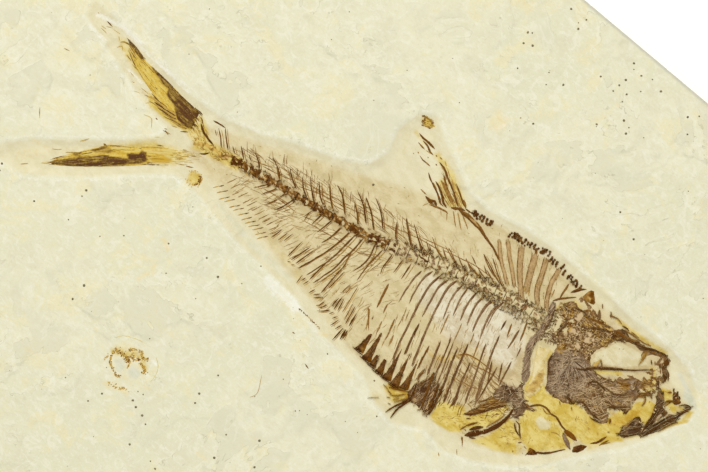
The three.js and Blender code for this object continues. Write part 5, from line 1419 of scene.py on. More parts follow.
# Each belly scute: its tip, its keel's back and front ends, its spike's width and how much its foot swells.
BELLY_SCUTES = [
    ((10.65, -12.6), (9.0, -16.1), (11.3, -16.4), 0.85, 0.9),
    ((12.1, -11.6), (10.8, -16.8), (13.1, -17.1), 0.75, 0.9),
    ((13.3, -15.1), (12.4, -17.3), (14.4, -17.4), 0.9, 0.5),
    ((14.8, -15.1), (13.8, -17.8), (16, -17.8), 0.95, 0.4),
    ((16.3, -12), (15.4, -18.1), (17.6, -18.1), 0.4, 1.3),
    ((17.9, -12), (17.2, -18.4), (19.2, -18.4), 0.4, 1.4),
    ((19.6, -12.2), (18.9, -18.3), (20.8, -17.9), 0.44, 1.2),
]


def scute_outline(tip, back, front, spike, swell):
    """A keel whose two ends sweep up, hollow sided, into a spike that thickens toward its foot."""
    tip, back, front = np.array(tip), np.array(back), np.array(front)
    foot = back * 0.42 + front * 0.58
    left, right = [], []
    for share in (0.03, 0.09, 0.18, 0.3, 0.45, 0.65, 0.85, 1.0):
        middle = foot + (tip - foot) * share
        flare = (1 - share) ** 12
        half = 0.5 * spike * (1.1 - 0.4 * share**3) + 0.5 * swell * (1 - share) ** 1.7
        left.append(tuple(middle - (half + max(0.0, (foot - back)[0] - half) * flare, 0.03)))
        right.append(tuple(middle + (half + max(0.0, (front - foot)[0] - half) * flare, 0.03)))
    return [tuple(back), tuple((back + front) / 2 - (0, 0.12)), tuple(front), *right, *reversed(left)]


def make_body():
    for k, lines in enumerate(RIBS, start=1):
        rib = Heap()
        for points, first, last, ink in lines_of(lines):
            faint = 0.15 if points[0][1] > -3 else 0.05
            splint(rib, points, first, last * 0.85, ink - faint, 0.2, 0.55)
            splint(rib, points[:2], first * 0.9, first * 0.5, ink + 0.1, 0.26, 0.3)
        rib.piece(f"rib_bone_{k:02d}", "brown_bone", f"rib_{k:02d}")
    for k, (points, first, last, ink) in enumerate(lines_of(PREDORSAL), start=1):
        bar = Heap()
        splint(bar, points, first * 0.9, last * 0.8, ink - 0.64, 0.26, 0.2, 0.12)
        splint(bar, [(x + first * 0.4, y + 0.1) for x, y in points], 0.13, 0.1, ink - 0.45, 0.28)
        splint(bar, [(x - first * 0.45, y - 0.1) for x, y in points], 0.13, 0.1, ink - 0.3, 0.28)
        sheath = [(x - 0.5 * first, y) for x, y in points] + [(x + 0.5 * first, y) for x,
                y in reversed(points)]
        splinters(bar, sheath, 34, -66, 1.1, 0.12, 160 + k, (-0.4, 0.7), 0.2, 0.3, 8, 0.8)
        bar.piece(f"predorsal_bar_{k:02d}", "brown_bone", f"predorsal_bone_{k:02d}")
    for k, (tip, back, front, *widths) in enumerate(BELLY_SCUTES, start=1):
        scute = Heap()
        outline = scute_outline(tip, back, front, *widths)
        mottle = [("gold", front[0] - 0.2, front[1] + 0.8, 0.5, 1.6), ("dark", *back, 1.6, 0.3)]
        plaque(scute, outline, 0.34, 0.16, 0.05, patched(0.82, mottle, 0.1, 0.1, 0.25))
        splint(scute, [back, ((back[0] + front[0]) / 2, (back[1] + front[1]) / 2 - 0.12), front], 0.16, 0.16,
                1.1, 0.54)
        splinters(scute, outline, 6, 88, 0.9, 0.08, 170 + k, (0.2, 1.1), 0.2, 0.54, 3, 0.4)
        scute.piece(f"belly_scute_bone_{k:02d}", "brown_bone", f"belly_scute_{k:02d}")
    scutes = Heap()
    for k, (x, y) in enumerate(BACK_SCUTES):
        seeded = random.Random(k + 300)
        for lift in (-0.36, 0.0, 0.36):
            at = (x + seeded.uniform(-0.2, 0.2), y + lift)
            grain_of(scutes, *to_plate(*at), surface(*at), seeded.uniform(0.17, 0.29), 0.34,
                    (seeded.uniform(0.6, 1.15), 0.1, 0.2))
    scutes.piece("back_scutes", "brown_bone")
    loose = Heap()
    beads(loose, path(-1.8, -15.1, 0, -15.5, 1.2, -15.8, 2.8, -16.2), 46, 0.06, 0.09, (0.1, 0.7), 180, 0.3)
    strokes(loose, RIB_ENDS, 0.18, 0.3, 0.3)
    for points, first, last, ink in lines_of(LOOSE_BONES):
        splint(loose, points, first, last, ink, 0.18)
    loose.piece("loose_bones", "brown_bone")


# ---------------------------------------------------------------- fins

DORSAL = [
    (0.26, 0.34, 0.95, 0.9, 20.3, 1.8, 19.9, 3, 19.7, 4.4, 19.3),
    (0.24, 0.26, 0.85, 2, 19.5, 3.2, 19.1, 4, 18.5, 4.7, 18.3),
    (0.2, 0.22, 0.6, 1.5, 18.9, 2.3, 18.6, 3, 18.4), (0.16, 0.16, 0.3, 3.2, 18.4, 4.4, 18.3),
    (0.3, 0.26, 0.7, 5.1, 18.5, 5.4, 18.4), (0.3, 0.3, 0.95, 5.8, 17.2, 6.1, 17.1),
    (0.24, 0.2, 0.7, 0.8, 5.8, 18.6, 6.4, 18.4), (0.24, 0.2, 0.5, 4.1, 17.6, 4.2, 17.4),
    (0.26, 0.2, 0.4, 2.2, 17.5, 2.5, 17.3), (0.2, 0.2, 0.2, 1.6, 16.9, 1.8, 16.8),
    (0.18, 0.2, 0.7, 2.8, 17.1, 3.6, 16.7, 4.4, 16.6, 5.2, 16.4),
    (0.26, 0.26, 0.9, 6.2, 17.8, 7.6, 17.1, 9, 16, 10.4, 14.9, 11.6, 13.8, 12.6, 12.9),
    (0.2, 0.16, 0.4, 0.9, 6.9, 18.4, 7.5, 17.9),
    (0.26, 0.24, 0.85, 0.4, 7.9, 16.2, 9, 15.1, 10.2, 14, 11, 13.2),
    (0.5, 0.5, 0.6, 0.4, 8, 15.2, 9.4, 14.5, 10.6, 13.6, 11.6, 12.8), (0.2, 0.2, 0.95, 7.9, 15.2, 9.2, 14.8),
    (0.26, 0.34, 1.0, 7.2, 14.7, 8.4, 14, 9.4, 13.1, 10.2, 12.2, 11, 11.8),
    (0.2, 0.16, 0.5, 1.0, 7, 14.3, 8.2, 13.6),
    (0.2, 0.3, 0.9, 0.3, 5.5, 15.4, 6.4, 14.5, 7.8, 13.6, 9, 12.7, 9.8, 11.9, 10.4, 11.7),
    (0.22, 0.3, 0.85, 0.3, 10.4, 16.1, 11.2, 15.4, 12.6, 14.2, 13.6, 13.4),
    (0.3, 0.5, 0.7, 12.8, 14.4, 13.8, 13.3), (0.12, 0.12, 0.35, 1.0, 9.8, 15.8, 11.4, 14.5, 12.8, 13.2),
    (0.4, 0.36, 0.95, 11.6, 12.2, 12.4, 12.4, 13.2, 12.8, 14, 12.9), (0.26, 0.3, 0.9, 13.8, 13.2, 15, 13.1),
    (0.36, 0.3, 0.75, 13.6, 12.6, 15, 12.5, 16.6, 12, 17.6, 11.7, 19, 11),
    (0.5, 0.4, 0.35, 15, 12.3, 16.4, 12, 17.4, 11.6), (0.24, 0.2, 0.6, 5.7, 12.3, 7, 12),
    (0.5, 0.4, 0.95, 7, 11.7, 8, 11.4, 8.8, 11.7, 9.5, 11.1),
    (0.4, 0.3, 0.8, 0.3, 7.6, 11.3, 8.4, 11.1, 9, 11.3),
    (0.26, 0.26, 0.65, 8.2, 10.8, 9.6, 11.1, 11.4, 11.2, 11.7, 11), (0.2, 0.16, 0.4, 8, 10.9, 7.4, 10.1),
    (0.18, 0.12, 0.4, 11.5, 11.1, 12.1, 10), (0.2, 0.14, 0.45, 12.2, 11.9, 14, 9.7),
    (0.2, 0.14, 0.45, 13, 12, 15, 9.8), (0.2, 0.16, 0.45, 14, 12, 15.9, 10.5),
    (0.14, 0.12, 0.3, 10.3, 11, 10.9, 10.2),
]

ANAL = [
    (0.35, 0.2, 0.75, -11.8, -7.1, -10.9, -5), (0.3, 0.2, 0.65, -10.6, -6.9, -9.8, -5),
    (0.25, 0.2, 0.6, -9.7, -6.5, -9, -4.8), (0.35, 0.2, 0.75, -7.9, -8.4, -7, -5.1),
    (0.35, 0.2, 0.8, -7.1, -8.7, -5.4, -5.3), (0.35, 0.2, 0.8, -6.1, -8.8, -4.6, -5.4),
    (0.3, 0.2, 0.7, -7.5, -9.2, -7, -9), (0.3, 0.2, 0.7, -6.7, -9.4, -6.2, -9.1),
    (0.3, 0.2, 0.7, -5.5, -9.3, -5.1, -9.1), (0.35, 0.2, 0.75, -2.8, -10, -1.7, -6),
    (0.2, 0.15, 0.5, -1, -9.5, 0.7, -5.6), (0.35, 0.2, 0.8, 0, -11, 0.6, -7.5, 1.2, -4.4),
    (0.3, 0.2, 0.7, 0.7, -9.7, 1.6, -6), (0.25, 0.2, 0.7, 2.9, -9.3, 3.5, -7.3),
    (0.2, 0.15, 0.6, 3.6, -9, 3.9, -7.4), (0.2, 0.15, 0.5, 4.7, -12, 4.8, -7),
    (0.35, 0.25, 0.9, 2.6, -12, 3, -10.2), (0.35, 0.25, 0.9, 3.2, -12.3, 3.4, -9.8),
    (0.3, 0.2, 0.85, 3.9, -12.2, 3.8, -10), (0.25, 0.15, 0.6, 5.6, -13, 5.5, -9.8),
    (0.35, 0.2, 0.8, 6.1, -13.4, 6, -10), (0.4, 0.3, 0.95, 6.8, -13.4, 6.8, -11),
    (0.25, 0.2, 0.6, -4.4, -11.6, -4.2, -9.9), (0.3, 0.3, 0.85, -3.9, -10.8, -3.5, -10.1),
    (0.25, 0.25, 0.8, -3.3, -11.2, -2.8, -10.2), (0.2, 0.35, 0.8, -1.8, -12, -1.2, -11),
    (0.2, 0.35, 0.85, -1, -11.9, 0, -11.2), (0.2, 0.35, 0.8, -0.7, -12.3, 0.6, -11.4),
    (0.3, 0.35, 0.7, 0.3, -13.2, 0.8, -12.8, 1.1, -12),
    (0.2, 0.35, 0.85, 0.9, -13.9, 1.8, -13.4, 2.7, -12.7),
    (0.2, 0.3, 0.8, 0.8, -13.4, 1.4, -12.8, 1.9, -12.2), (0.25, 0.35, 0.9, 2.9, -13.3, 3.4, -12.7),
    (0.25, 0.35, 0.8, 3.7, -13.7, 4.3, -13), (0.2, 0.3, 0.8, 4, -14.9, 4.4, -14.2, 4.8, -13.4),
    (0.2, 0.35, 0.85, 5, -15, 5.6, -13.9), (0.25, 0.35, 0.9, 5.5, -16.8, 5.8, -15.6, 6.1, -14.2),
    (0.4, 0.5, 1.05, 6.6, -16.1, 6.6, -14.2), (0.3, 0.4, 0.9, 7, -15.8, 6.9, -14.2),
]
ANAL_ROW = path(
    -23.3, -3.8, -22.3, -4.2, -21.5, -5, -20.5, -4.9, -19.3, -5.3, -18.5, -5.4, -17.4, -5.7, -16.6, -6.1,
    -15.7, -6.3, -14.9, -6.5, -14.1, -6.6, -13.3, -7.1, -12.7, -7.5,
)

PELVIC_MASS = path(
    20.8, -17.2, 21.2, -16.2, 21.9, -16.6, 22, -15, 22.7, -14.2, 22.8, -13, 23.3, -13.2, 23.6, -15.2,
    24.2, -14, 24.8, -14.4, 25.2, -15.6, 25.7, -17.6, 25.9, -19.6, 25.3, -19.9, 23.4, -19.4, 22.2, -19.3,
    20.8, -18.6,
)
PELVIC = [
    (0.36, 0.3, 1.05, 21.9, -18.8, 21.2, -20.2, 20.6, -21.6, 20.4, -23.2),
    (0.34, 0.24, 0.95, 21.5, -19, 20.6, -20.4, 19.8, -21.6, 19.2, -22.8),
    (0.2, 0.12, 0.5, 1.0, 21.3, -18.8, 20.4, -19.8, 19.6, -20.6),
    (0.3, 0.16, 0.6, 1.0, 20.6, -18.5, 19.4, -19.5, 18.4, -20),
    (0.36, 0.24, 0.85, 0.7, 20.4, -18, 19, -18.5, 17.6, -18.9), (0.24, 0.24, 0.75, 17.7, -19.5, 18.6, -19.7),
    (0.2, 0.2, 0.6, 18.1, -20.5, 18.7, -20.3), (0.24, 0.2, 0.5, 18.8, -21.3, 19.3, -21.2),
    (0.2, 0.2, 0.5, 0.6, 16.6, -19, 17.8, -19.3), (0.16, 0.12, 0.4, 1.0, 20, -19.6, 19.2, -20.4),
    (0.12, 0.12, 0.0, 15.4, -22.2, 17, -21.2), (0.3, 0.3, 0.7, 21.3, -13.3, 21.1, -14.8, 21.2, -15.6),
    (0.5, 0.4, 0.8, 22.9, -13, 23.2, -15, 23.6, -17, 24, -19),
    (0.4, 0.4, 0.9, 24.5, -14.2, 24.9, -16.5, 25.2, -19),
    (0.3, 0.36, 0.95, 25.3, -14, 25.6, -17, 25.7, -19.6),
    (0.3, 0.3, 1.0, 20.8, -18, 21.6, -18.9, 22.4, -19.2), (0.36, 0.3, 0.8, 22.2, -15, 22.1, -16.2),
    # The short pale stroke at 22.3, -18.7 is a painted highlight, a white glint.
    (0.4, 0.3, 0.6, 1.0, 21.4, -17.2, 22, -17.6), (0.24, 0.24, -0.8, 22.3, -18.7, 22.5, -18.7),
    (0.16, 0.14, -0.3, 24.4, -17, 24.8, -18.6), (0.16, 0.14, -0.8, 19.6, -14, 19.5, -15.2, 19.6, -15.9),
    (0.3, 0.4, 1.0, 21.2, -16, 21.6, -17.4, 21.6, -18.6),
]

PECTORAL_FAN = path(
    33.4, -11.4, 34.6, -11, 36, -11.2, 36, -11.9, 34.8, -13, 33.6, -14.4, 32.2, -15.7, 30.8, -16.7,
    30.8, -15.9, 31.6, -15.2, 32.4, -13.6,
)
PECTORAL = [
    (0.34, 0.4, 0.95, 0.2, 36.1, -11.8, 34.8, -12.8, 33.6, -14.2, 32.2, -15.6, 30.8, -16.5),
    (0.24, 0.3, 0.8, 33.2, -11.6, 32.7, -12.6, 31.9, -13.7),
    (0.24, 0.2, 0.8, 35, -11.4, 34, -12.6, 33, -14.2), (0.3, 0.24, 0.9, 31.4, -17, 32.1, -16.6),
    (0.3, 0.34, 0.85, 0.5, 33.4, -16.6, 32.6, -17.4, 32, -18),
    (0.3, 0.2, 0.75, 0.8, 32, -18, 31.7, -18.6, 31.4, -19.1),
    (0.34, 0.3, 0.6, 1.0, 32.1, -18.7, 32.4, -18.8),
    (0.26, 0.2, 0.55, 1.0, 36.7, -13.2, 36, -14.8, 35, -16.6),
    (0.14, 0.12, 0.4, 1.0, 36.4, -13.8, 35.6, -15.4), (0.26, 0.16, 0.6, 32.2, -20, 32.6, -20.6),
]
PECTORAL_SPINE = [
    (0.4, 0.8, 1.05, 37.4, -11.6, 37.3, -13.2, 36.7, -15, 35.7, -16.7, 34.6, -18),
    (1.0, 0.7, 1.05, 34.9, -17.6, 33.8, -18.5, 32.6, -19.6),
    (0.5, 0.6, 0.95, 34.6, -16.8, 33.6, -17.6, 32.8, -18.4), (0.4, 0.3, 0.9, 0.4, 34.4, -19.1, 33.4, -19.5),
    # The pale stroke at 34.2, -17.4 is a painted highlight, a glint on the spine.
    (0.2, 0.2, 0.5, 37.6, -13, 37.3, -14.4), (0.24, 0.2, -0.7, 34.2, -17.4, 34.4, -17.7),
    (0.16, 0.14, -0.2, 33.6, -18, 34, -18.3), (0.2, 0.16, 0.0, 34.8, -17.2, 35, -17.5),
]

UPPER_LOBE_EDGES = (
    path(-49, 9.7, -45.5, 8.3, -40, 7, -37, 6.1, -34, 5.4, -32.3, 5.1),
    path(-48.6, 8.2, -45, 5.8, -41, 3.6, -37, 1.8, -33, 1.3, -32, 1.6),
)
LOWER_LOBE_EDGES = (
    path(-50.8, -14.6, -46, -10, -43, -7.2, -40, -5.8, -36, -3.6, -32.2, -2),
    path(-50.6, -15.5, -46, -13.2, -42, -11, -39, -9.2, -36, -7.2, -32.4, -5.3),
)

# Where the fin film is thick and brown: outline and strength.
LOBE_PATCHES = [
    (path(-44.5, 8.2, -40, 6.9, -37, 6, -34, 5.5, -32.3, 5.2, -32.4, 4.2, -32.9, 3.8, -33, 3.2, -31.6, 2.7,
     -32.2, 2.1, -33.8, 1.7, -35, 2.1, -36, 3, -36.9, 4, -38, 4.4, -39, 5, -38.8, 5.9, -40.4, 6.2), 1.0),
    (path(-48.8, 9.7, -45.3, 8.3, -45.4, 7.8, -48.6, 9.2), 0.8),
    (path(-50, -14.8, -47.6, -12.7, -46, -11.6, -42.8, -9.2, -41.6, -8.9, -39, -7.7, -37.6, -6.8,
     -37.7, -5.4, -37.1, -5.4, -36.2, -6.4, -37, -7.3, -39, -8.7, -42, -10.8, -46, -13, -49, -14.8), 1.0),
    (path(-35.7, -7, -33.5, -5.9, -33.4, -5.4, -34.6, -5.9, -35.9, -6.6), 1.0),
    (path(-44, -7.3, -42, -7.9, -42.4, -8.4, -44, -9.4, -45.6, -9.6, -44, -8.6), 0.75),
    (path(-39.5, -7.1, -38, -6.3, -37.6, -5.9, -37.4, -6.5, -39, -7.5), 0.9),
    (path(-46.4, -10.6, -46.2, -11.4, -47.8, -11.6, -47.6, -11), 0.7),
]


UPPER_LOBE_RAYS = [
    (0.24, 0.26, 0.9, -48.8, 9.6, -46.9, 8.9, -45.2, 8.2),
    (0.2, 0.26, 0.7, -49.9, 8.5, -49.3, 8.9, -48, 8.9, -46.8, 8.4), (0.2, 0.2, 0.8, -47.6, 8, -45.9, 7.3),
    (0.16, 0.16, 0.7, -47.9, 7.2, -46.7, 6.7), (0.16, 0.16, 0.7, -46.3, 6.3, -45, 5.9),
    (0.16, 0.16, 0.8, -44.4, 6.8, -43.4, 6.5), (0.16, 0.16, 0.8, -43.4, 7, -42.4, 6.6),
    (0.16, 0.16, 0.7, -44.4, 5.5, -43, 5.1), (0.12, 0.12, 0.7, -42.9, 6.1, -41, 5.4),
    (0.12, 0.12, 0.8, -42, 4.9, -40, 4.2), (0.12, 0.14, 0.8, -41.9, 6.6, -39.8, 5.7),
    (0.2, 0.24, 0.9, -41.1, 3.7, -39.3, 3.2, -37.4, 3), (0.26, 0.34, 1.0, -40, 2.7, -37.6, 2.5, -35.4, 2.6),
    (0.2, 0.24, 0.9, -39, 2.1, -36.4, 2, -33, 2.1), (0.16, 0.2, 0.85, -37.4, 1.4, -35, 1.6, -32.7, 1.8),
    (0.14, 0.14, 0.7, -40.9, 2.4, -38.8, 2.4), (0.16, 0.14, 0.8, -38.6, 3.5, -37.5, 3.4),
    (0.2, 0.2, 0.8, -34.6, 1.5, -32.8, 2), (0.2, 0.24, 0.95, -33.8, 0.6, -32.6, 1.2),
    (0.14, 0.14, 0.6, -35.5, 0.7, -34.6, 0.9), (0.24, 0.2, 0.4, -44.8, 3.8, -44.4, 3.8),
    (0.3, 0.24, 0.85, -53.5, 10.4, -52.3, 10.1), (0.14, 0.12, 0.5, -53.2, 9.6, -52.2, 9.9),
    (0.14, 0.12, 0.4, -54, 9.3, -53, 9.2), (0.16, 0.14, 0.5, -53.8, 8.9, -52.6, 8.7),
    (0.16, 0.14, 0.5, -55.6, 10.9, -55.3, 10.9), (0.2, 0.2, 0.45, -49.9, 7.5, -49.3, 8.1, -48.9, 7.5),
    (0.14, 0.12, 0.4, -50.6, 9.2, -50, 8.6), (0.14, 0.14, 0.45, -43, 3.6, -41.6, 3.4),
    (0.14, 0.12, 0.35, -46, 5, -45, 4.7), (0.34, 0.4, 0.3, 1.0, -41, 3.2, -37, 2.75, -33, 2.3),
    (0.3, 0.34, 0.3, 1.0, -40, 2.4, -36.4, 2.25, -33, 2.05),
    (0.24, 0.3, 0.4, 1.0, -38, 1.8, -35, 1.75, -32.8, 1.7), (0.2, 0.26, 0.4, 1.0, -36, 1.3, -33.2, 1.4),
    (0.16, 0.2, 0.4, 0.6, -42, 2.9, -40.4, 3.1), (0.14, 0.14, 0.2, 0.4, -41.2, 1.8, -40.3, 2.4),
    (0.12, 0.16, 0.15, 0.3, -40.4, 0, -39, 0.1, -38.2, -1.4), (0.2, 0.16, 0.7, -36.3, -0.3, -35.8, -0.2),
    (0.24, 0.12, 0.6, -36.3, -0.65, -34.9, -0.6), (0.2, 0.24, 0.7, 0.6, -34.6, 1.2, -33, 1.6),
    (0.2, 0.24, 0.8, 0.5, -35.2, 1.8, -33, 1.9), (0.16, 0.2, 0.8, 0.4, -37, 2.55, -33.4, 2.3),
    (0.3, 0.26, 0.9, -31.9, 4.4, -31, 3.4), (0.12, 0.12, 0.3, -52, 9.8, -50.6, 9.7),
    (0.12, 0.12, 0.3, -43.8, 2.6, -42.8, 2.8),
]
LOWER_LOBE_RAYS = [
    (0.2, 0.24, 0.8, -47, -11.6, -44.4, -9.6, -43.2, -9.3), (0.16, 0.16, 0.6, -48.6, -12, -46.3, -10.6),
    (0.2, 0.24, 0.8, -45.6, -9.8, -44.2, -8.8, -42.7, -8.1, -41.2, -7.6),
    (0.6, 0.5, 0.7, -43.8, -7.5, -42.6, -7.9), (0.2, 0.2, 0.9, -41, -6.9, -40, -6.6),
    (0.2, 0.24, 0.9, -40.6, -8.6, -39.6, -8), (0.2, 0.2, 0.9, -38.4, -5.3, -37.8, -5),
    (0.4, 0.4, 1.0, -37.9, -5.8, -37, -5.4, -37.2, -6.4), (0.26, 0.26, 0.95, -39.5, -7.2, -37.3, -6.4),
    (0.3, 0.3, 1.0, -39, -7.8, -36.4, -6.6), (0.2, 0.2, 0.85, -36, -3.3, -35, -2.9),
    (0.16, 0.12, 0.3, -37, -2.3, -36.3, -1.9), (0.2, 0.2, 0.8, -31.9, -1.8, -31.3, -1.6),
    (0.12, 0.1, 0.6, -50.8, -12.6, -50, -12.2, -49.4, -11.8), (0.2, 0.2, 0.6, -54.1, -17.4, -53.1, -16.7),
    (0.2, 0.16, 0.6, -30.1, -3.9, -28.9, -3.5), (0.3, 0.2, 0.3, -47.4, -9.1, -46.3, -8),
    (0.34, 0.34, 0.95, -35.8, -6.9, -33.4, -5.5), (0.24, 0.2, 0.2, -51.2, -15.5, -50, -14.9),
]


def lobe(heap, edges, rows, stroke_seed, tip_fade, root_fade):
    """A tail lobe: a thin ribbed film whose ribs run along it and whose ends fray."""
    upper, lower = (smooth_line(e, 0.35) for e in edges)
    count = 70
    upper = [upper[round(i * (len(upper) - 1) / count)] for i in range(count + 1)]
    lower = [lower[round(i * (len(lower) - 1) / count)] for i in range(count + 1)]
    spots = np.array([upper[i] + (lower[i] - upper[i]) * k / rows for i in range(count + 1)
            for k in range(rows + 1)])
    thick = np.zeros(len(spots))
    for shape, strength in LOBE_PATCHES:
        thick = np.maximum(thick, strength * ease(-0.3, 0.05, reach(spots, shape)))
    made, lay, inks = [], [], []
    for n, (x, y) in enumerate(spots):
        i, k = divmod(n, rows + 1)
        edge = min(k, rows - k) / rows
        rib = 0.5 + 0.5 * math.cos(k * math.pi)
        streak = rough(i * 0.09, k * 1.9, 1.0, 3, stroke_seed)
        tip = ease(0, 12, i) * ease(0, 4, count - i)
        height = (0.05 + 0.05 * rib + 0.12 * thick[n]) * ease(0.0, 0.1, edge) * tip - 0.04 * (1 - ease(0,
                0.08, edge) * tip)
        frayed = ease(0, tip_fade, i + 0.6 * tip_fade * streak) * ease(0, root_fade, count - i
                + 0.6 * root_fade * streak)
        made.append((*to_plate(x, y), surface(x, y) + height))
        lay.append((i * 0.24, k * 0.3, float(ease(0.0, 0.12, edge) * frayed * (0.75 + 0.5 * streak
                + thick[n]))))
        inks.append((max(0.0, thick[n] * (0.65 + 0.25 * streak)) + 0.3 * streak + 0.3, 0.45 * thick[n], 0.0))
    faces, rim = sheet(count + 1, rows + 1)
    heap.add(made, faces + skirt(made, lay, inks, rim, 0.2), lay, inks)


def make_flecks():
    """Fine slivers and grains of bone strewn over the body."""
    flecks = Heap()
    for zone, count, heading, length, width, seed, ink, lift, shown in [
        (path(12, 0, 34, 1.4, 34, -7, 22, -7, 13, -6), 90, -83, 1.2, 0.12, 201, (0.0, 0.4), 8, 0.6),
        (path(13, -6, 34, -6.4, 33.6, -12, 30, -16.6, 20, -17, 12, -14), 84, -80, 1.8, 0.13, 202, (0.1, 0.7),
         5, 0.75),
        (path(22, -10, 31, -10, 33, -14, 30, -16.8, 22, -16.6), 56, -80, 2.2, 0.12, 211, (0.2, 0.8), 4,
         0.75), (path(25, -7.6, 36, -8.4, 36, -12.8, 26, -13), 44, -12, 3.6, 0.08, 212, (0.2, 0.6), 5, 0.65),
        (path(25, -7.6, 36, -8.4, 36, -12.8, 26, -13), 34, -35, 2.8, 0.08, 213, (0.2, 0.6), 5, 0.65),
        (path(-24, 2.4, 0, 3, 20, 4.6, 30, 6, 30, 9, 14, 8.4, 0, 7.4, -12, 5.4), 120, -42, 1.2, 0.1, 203,
         (0.0, 0.4), 14, 0.55),
        (path(-22, -0.6, 12, -0.6, 12, -8, 0, -9.6, -12, -6.6, -22, -3.4), 130, 58, 1.4, 0.11, 204,
         (0.0, 0.5), 12, 0.55),
        (path(-4, -9.6, 12, -8, 13, -14, 6, -15, 0, -12.6), 56, 75, 1.6, 0.11, 206, (0.0, 0.5), 8, 0.6),
        (path(20, 14, 36, 12, 34, 6, 22, 6), 60, -65, 1.1, 0.12, 207, (0.0, 0.5), 12, 0.6),
        (path(-24, 1.8, 0, 2, 10, 3.4, 10, 7, -6, 6, -24, 3.6), 150, -10, 2.4, 0.08, 215, (0.2, 0.7), 7,
         0.8),
        (path(-22, -0.4, 6, -0.4, 10, 0.6, 6, -3.6, -10, -4, -22, -2.6), 90, 14, 2.2, 0.08, 216, (0.2, 0.7),
         10, 0.7),
        (path(-24, 3, 0, 3, 8, 5, 6, 8, -8, 6.8, -24, 4.6), 60, -60, 1.8, 0.1, 217, (0.3, 0.8), 10, 0.8),
        (path(-23, -1, 8, -1, 6, -8, -6, -8.6, -21, -4), 60, 58, 2.2, 0.11, 218, (0.2, 0.6), 6, 0.7),
        (BODY, 260, 20, 0.35, 0.14, 205, (0.1, 0.8), 80, 0.6),
        (path(20.6, -14.4, 26, -13, 29, -16, 25.4, -18.6, 21.4, -18), 70, 80, 1.3, 0.15, 208, (0.3, 1.0), 12,
         0.9),
        (path(38, -13, 48, -13, 53, -8.4, 48, -7, 40, -9), 60, -35, 0.6, 0.12, 209, (0.0, 0.6), 24, 0.5),
        (path(26, -16, 40, -13, 42, -17, 36, -19.6, 28, -19.6), 110, 20, 0.8, 0.12, 210, (0.0, 0.6), 24,
         0.6),
        (path(30, -14, 36, -10.8, 38, -12, 35, -15, 32, -16.4), 90, 35, 1.0, 0.16, 214, (0.2, 1.0), 30, 0.8),
    ]:
        splinters(flecks, zone, count, heading, length, width, seed, ink, 0.15, 0.1, lift, 0.6, shown)
    flecks.piece("body_flecks", "brown_bone")


def striate(heap, edges, count, seed, ink, width):
    """Fine broken rays that follow a tail lobe between its two edges."""
    upper, lower = (smooth_line(edge, 0.35) for edge in edges)
    seeded = random.Random(seed)
    for _ in range(count):
        share, start, span = seeded.random(), seeded.uniform(0.02, 0.86), seeded.uniform(0.05, 0.2)
        points = []
        for t in np.linspace(start, min(start + span, 0.99), 4):
            a, b = upper[int(t * (len(upper) - 1))], lower[int(t * (len(lower) - 1))]
            points.append(a + (b - a) * (share * 0.94 + 0.03))
        wide = width * seeded.uniform(0.6, 1.3)
        splint(heap, points, wide, wide, seeded.uniform(*ink), 0.16, 0.0, seeded.uniform(0.2, 0.9), 0.25,
                0.85)


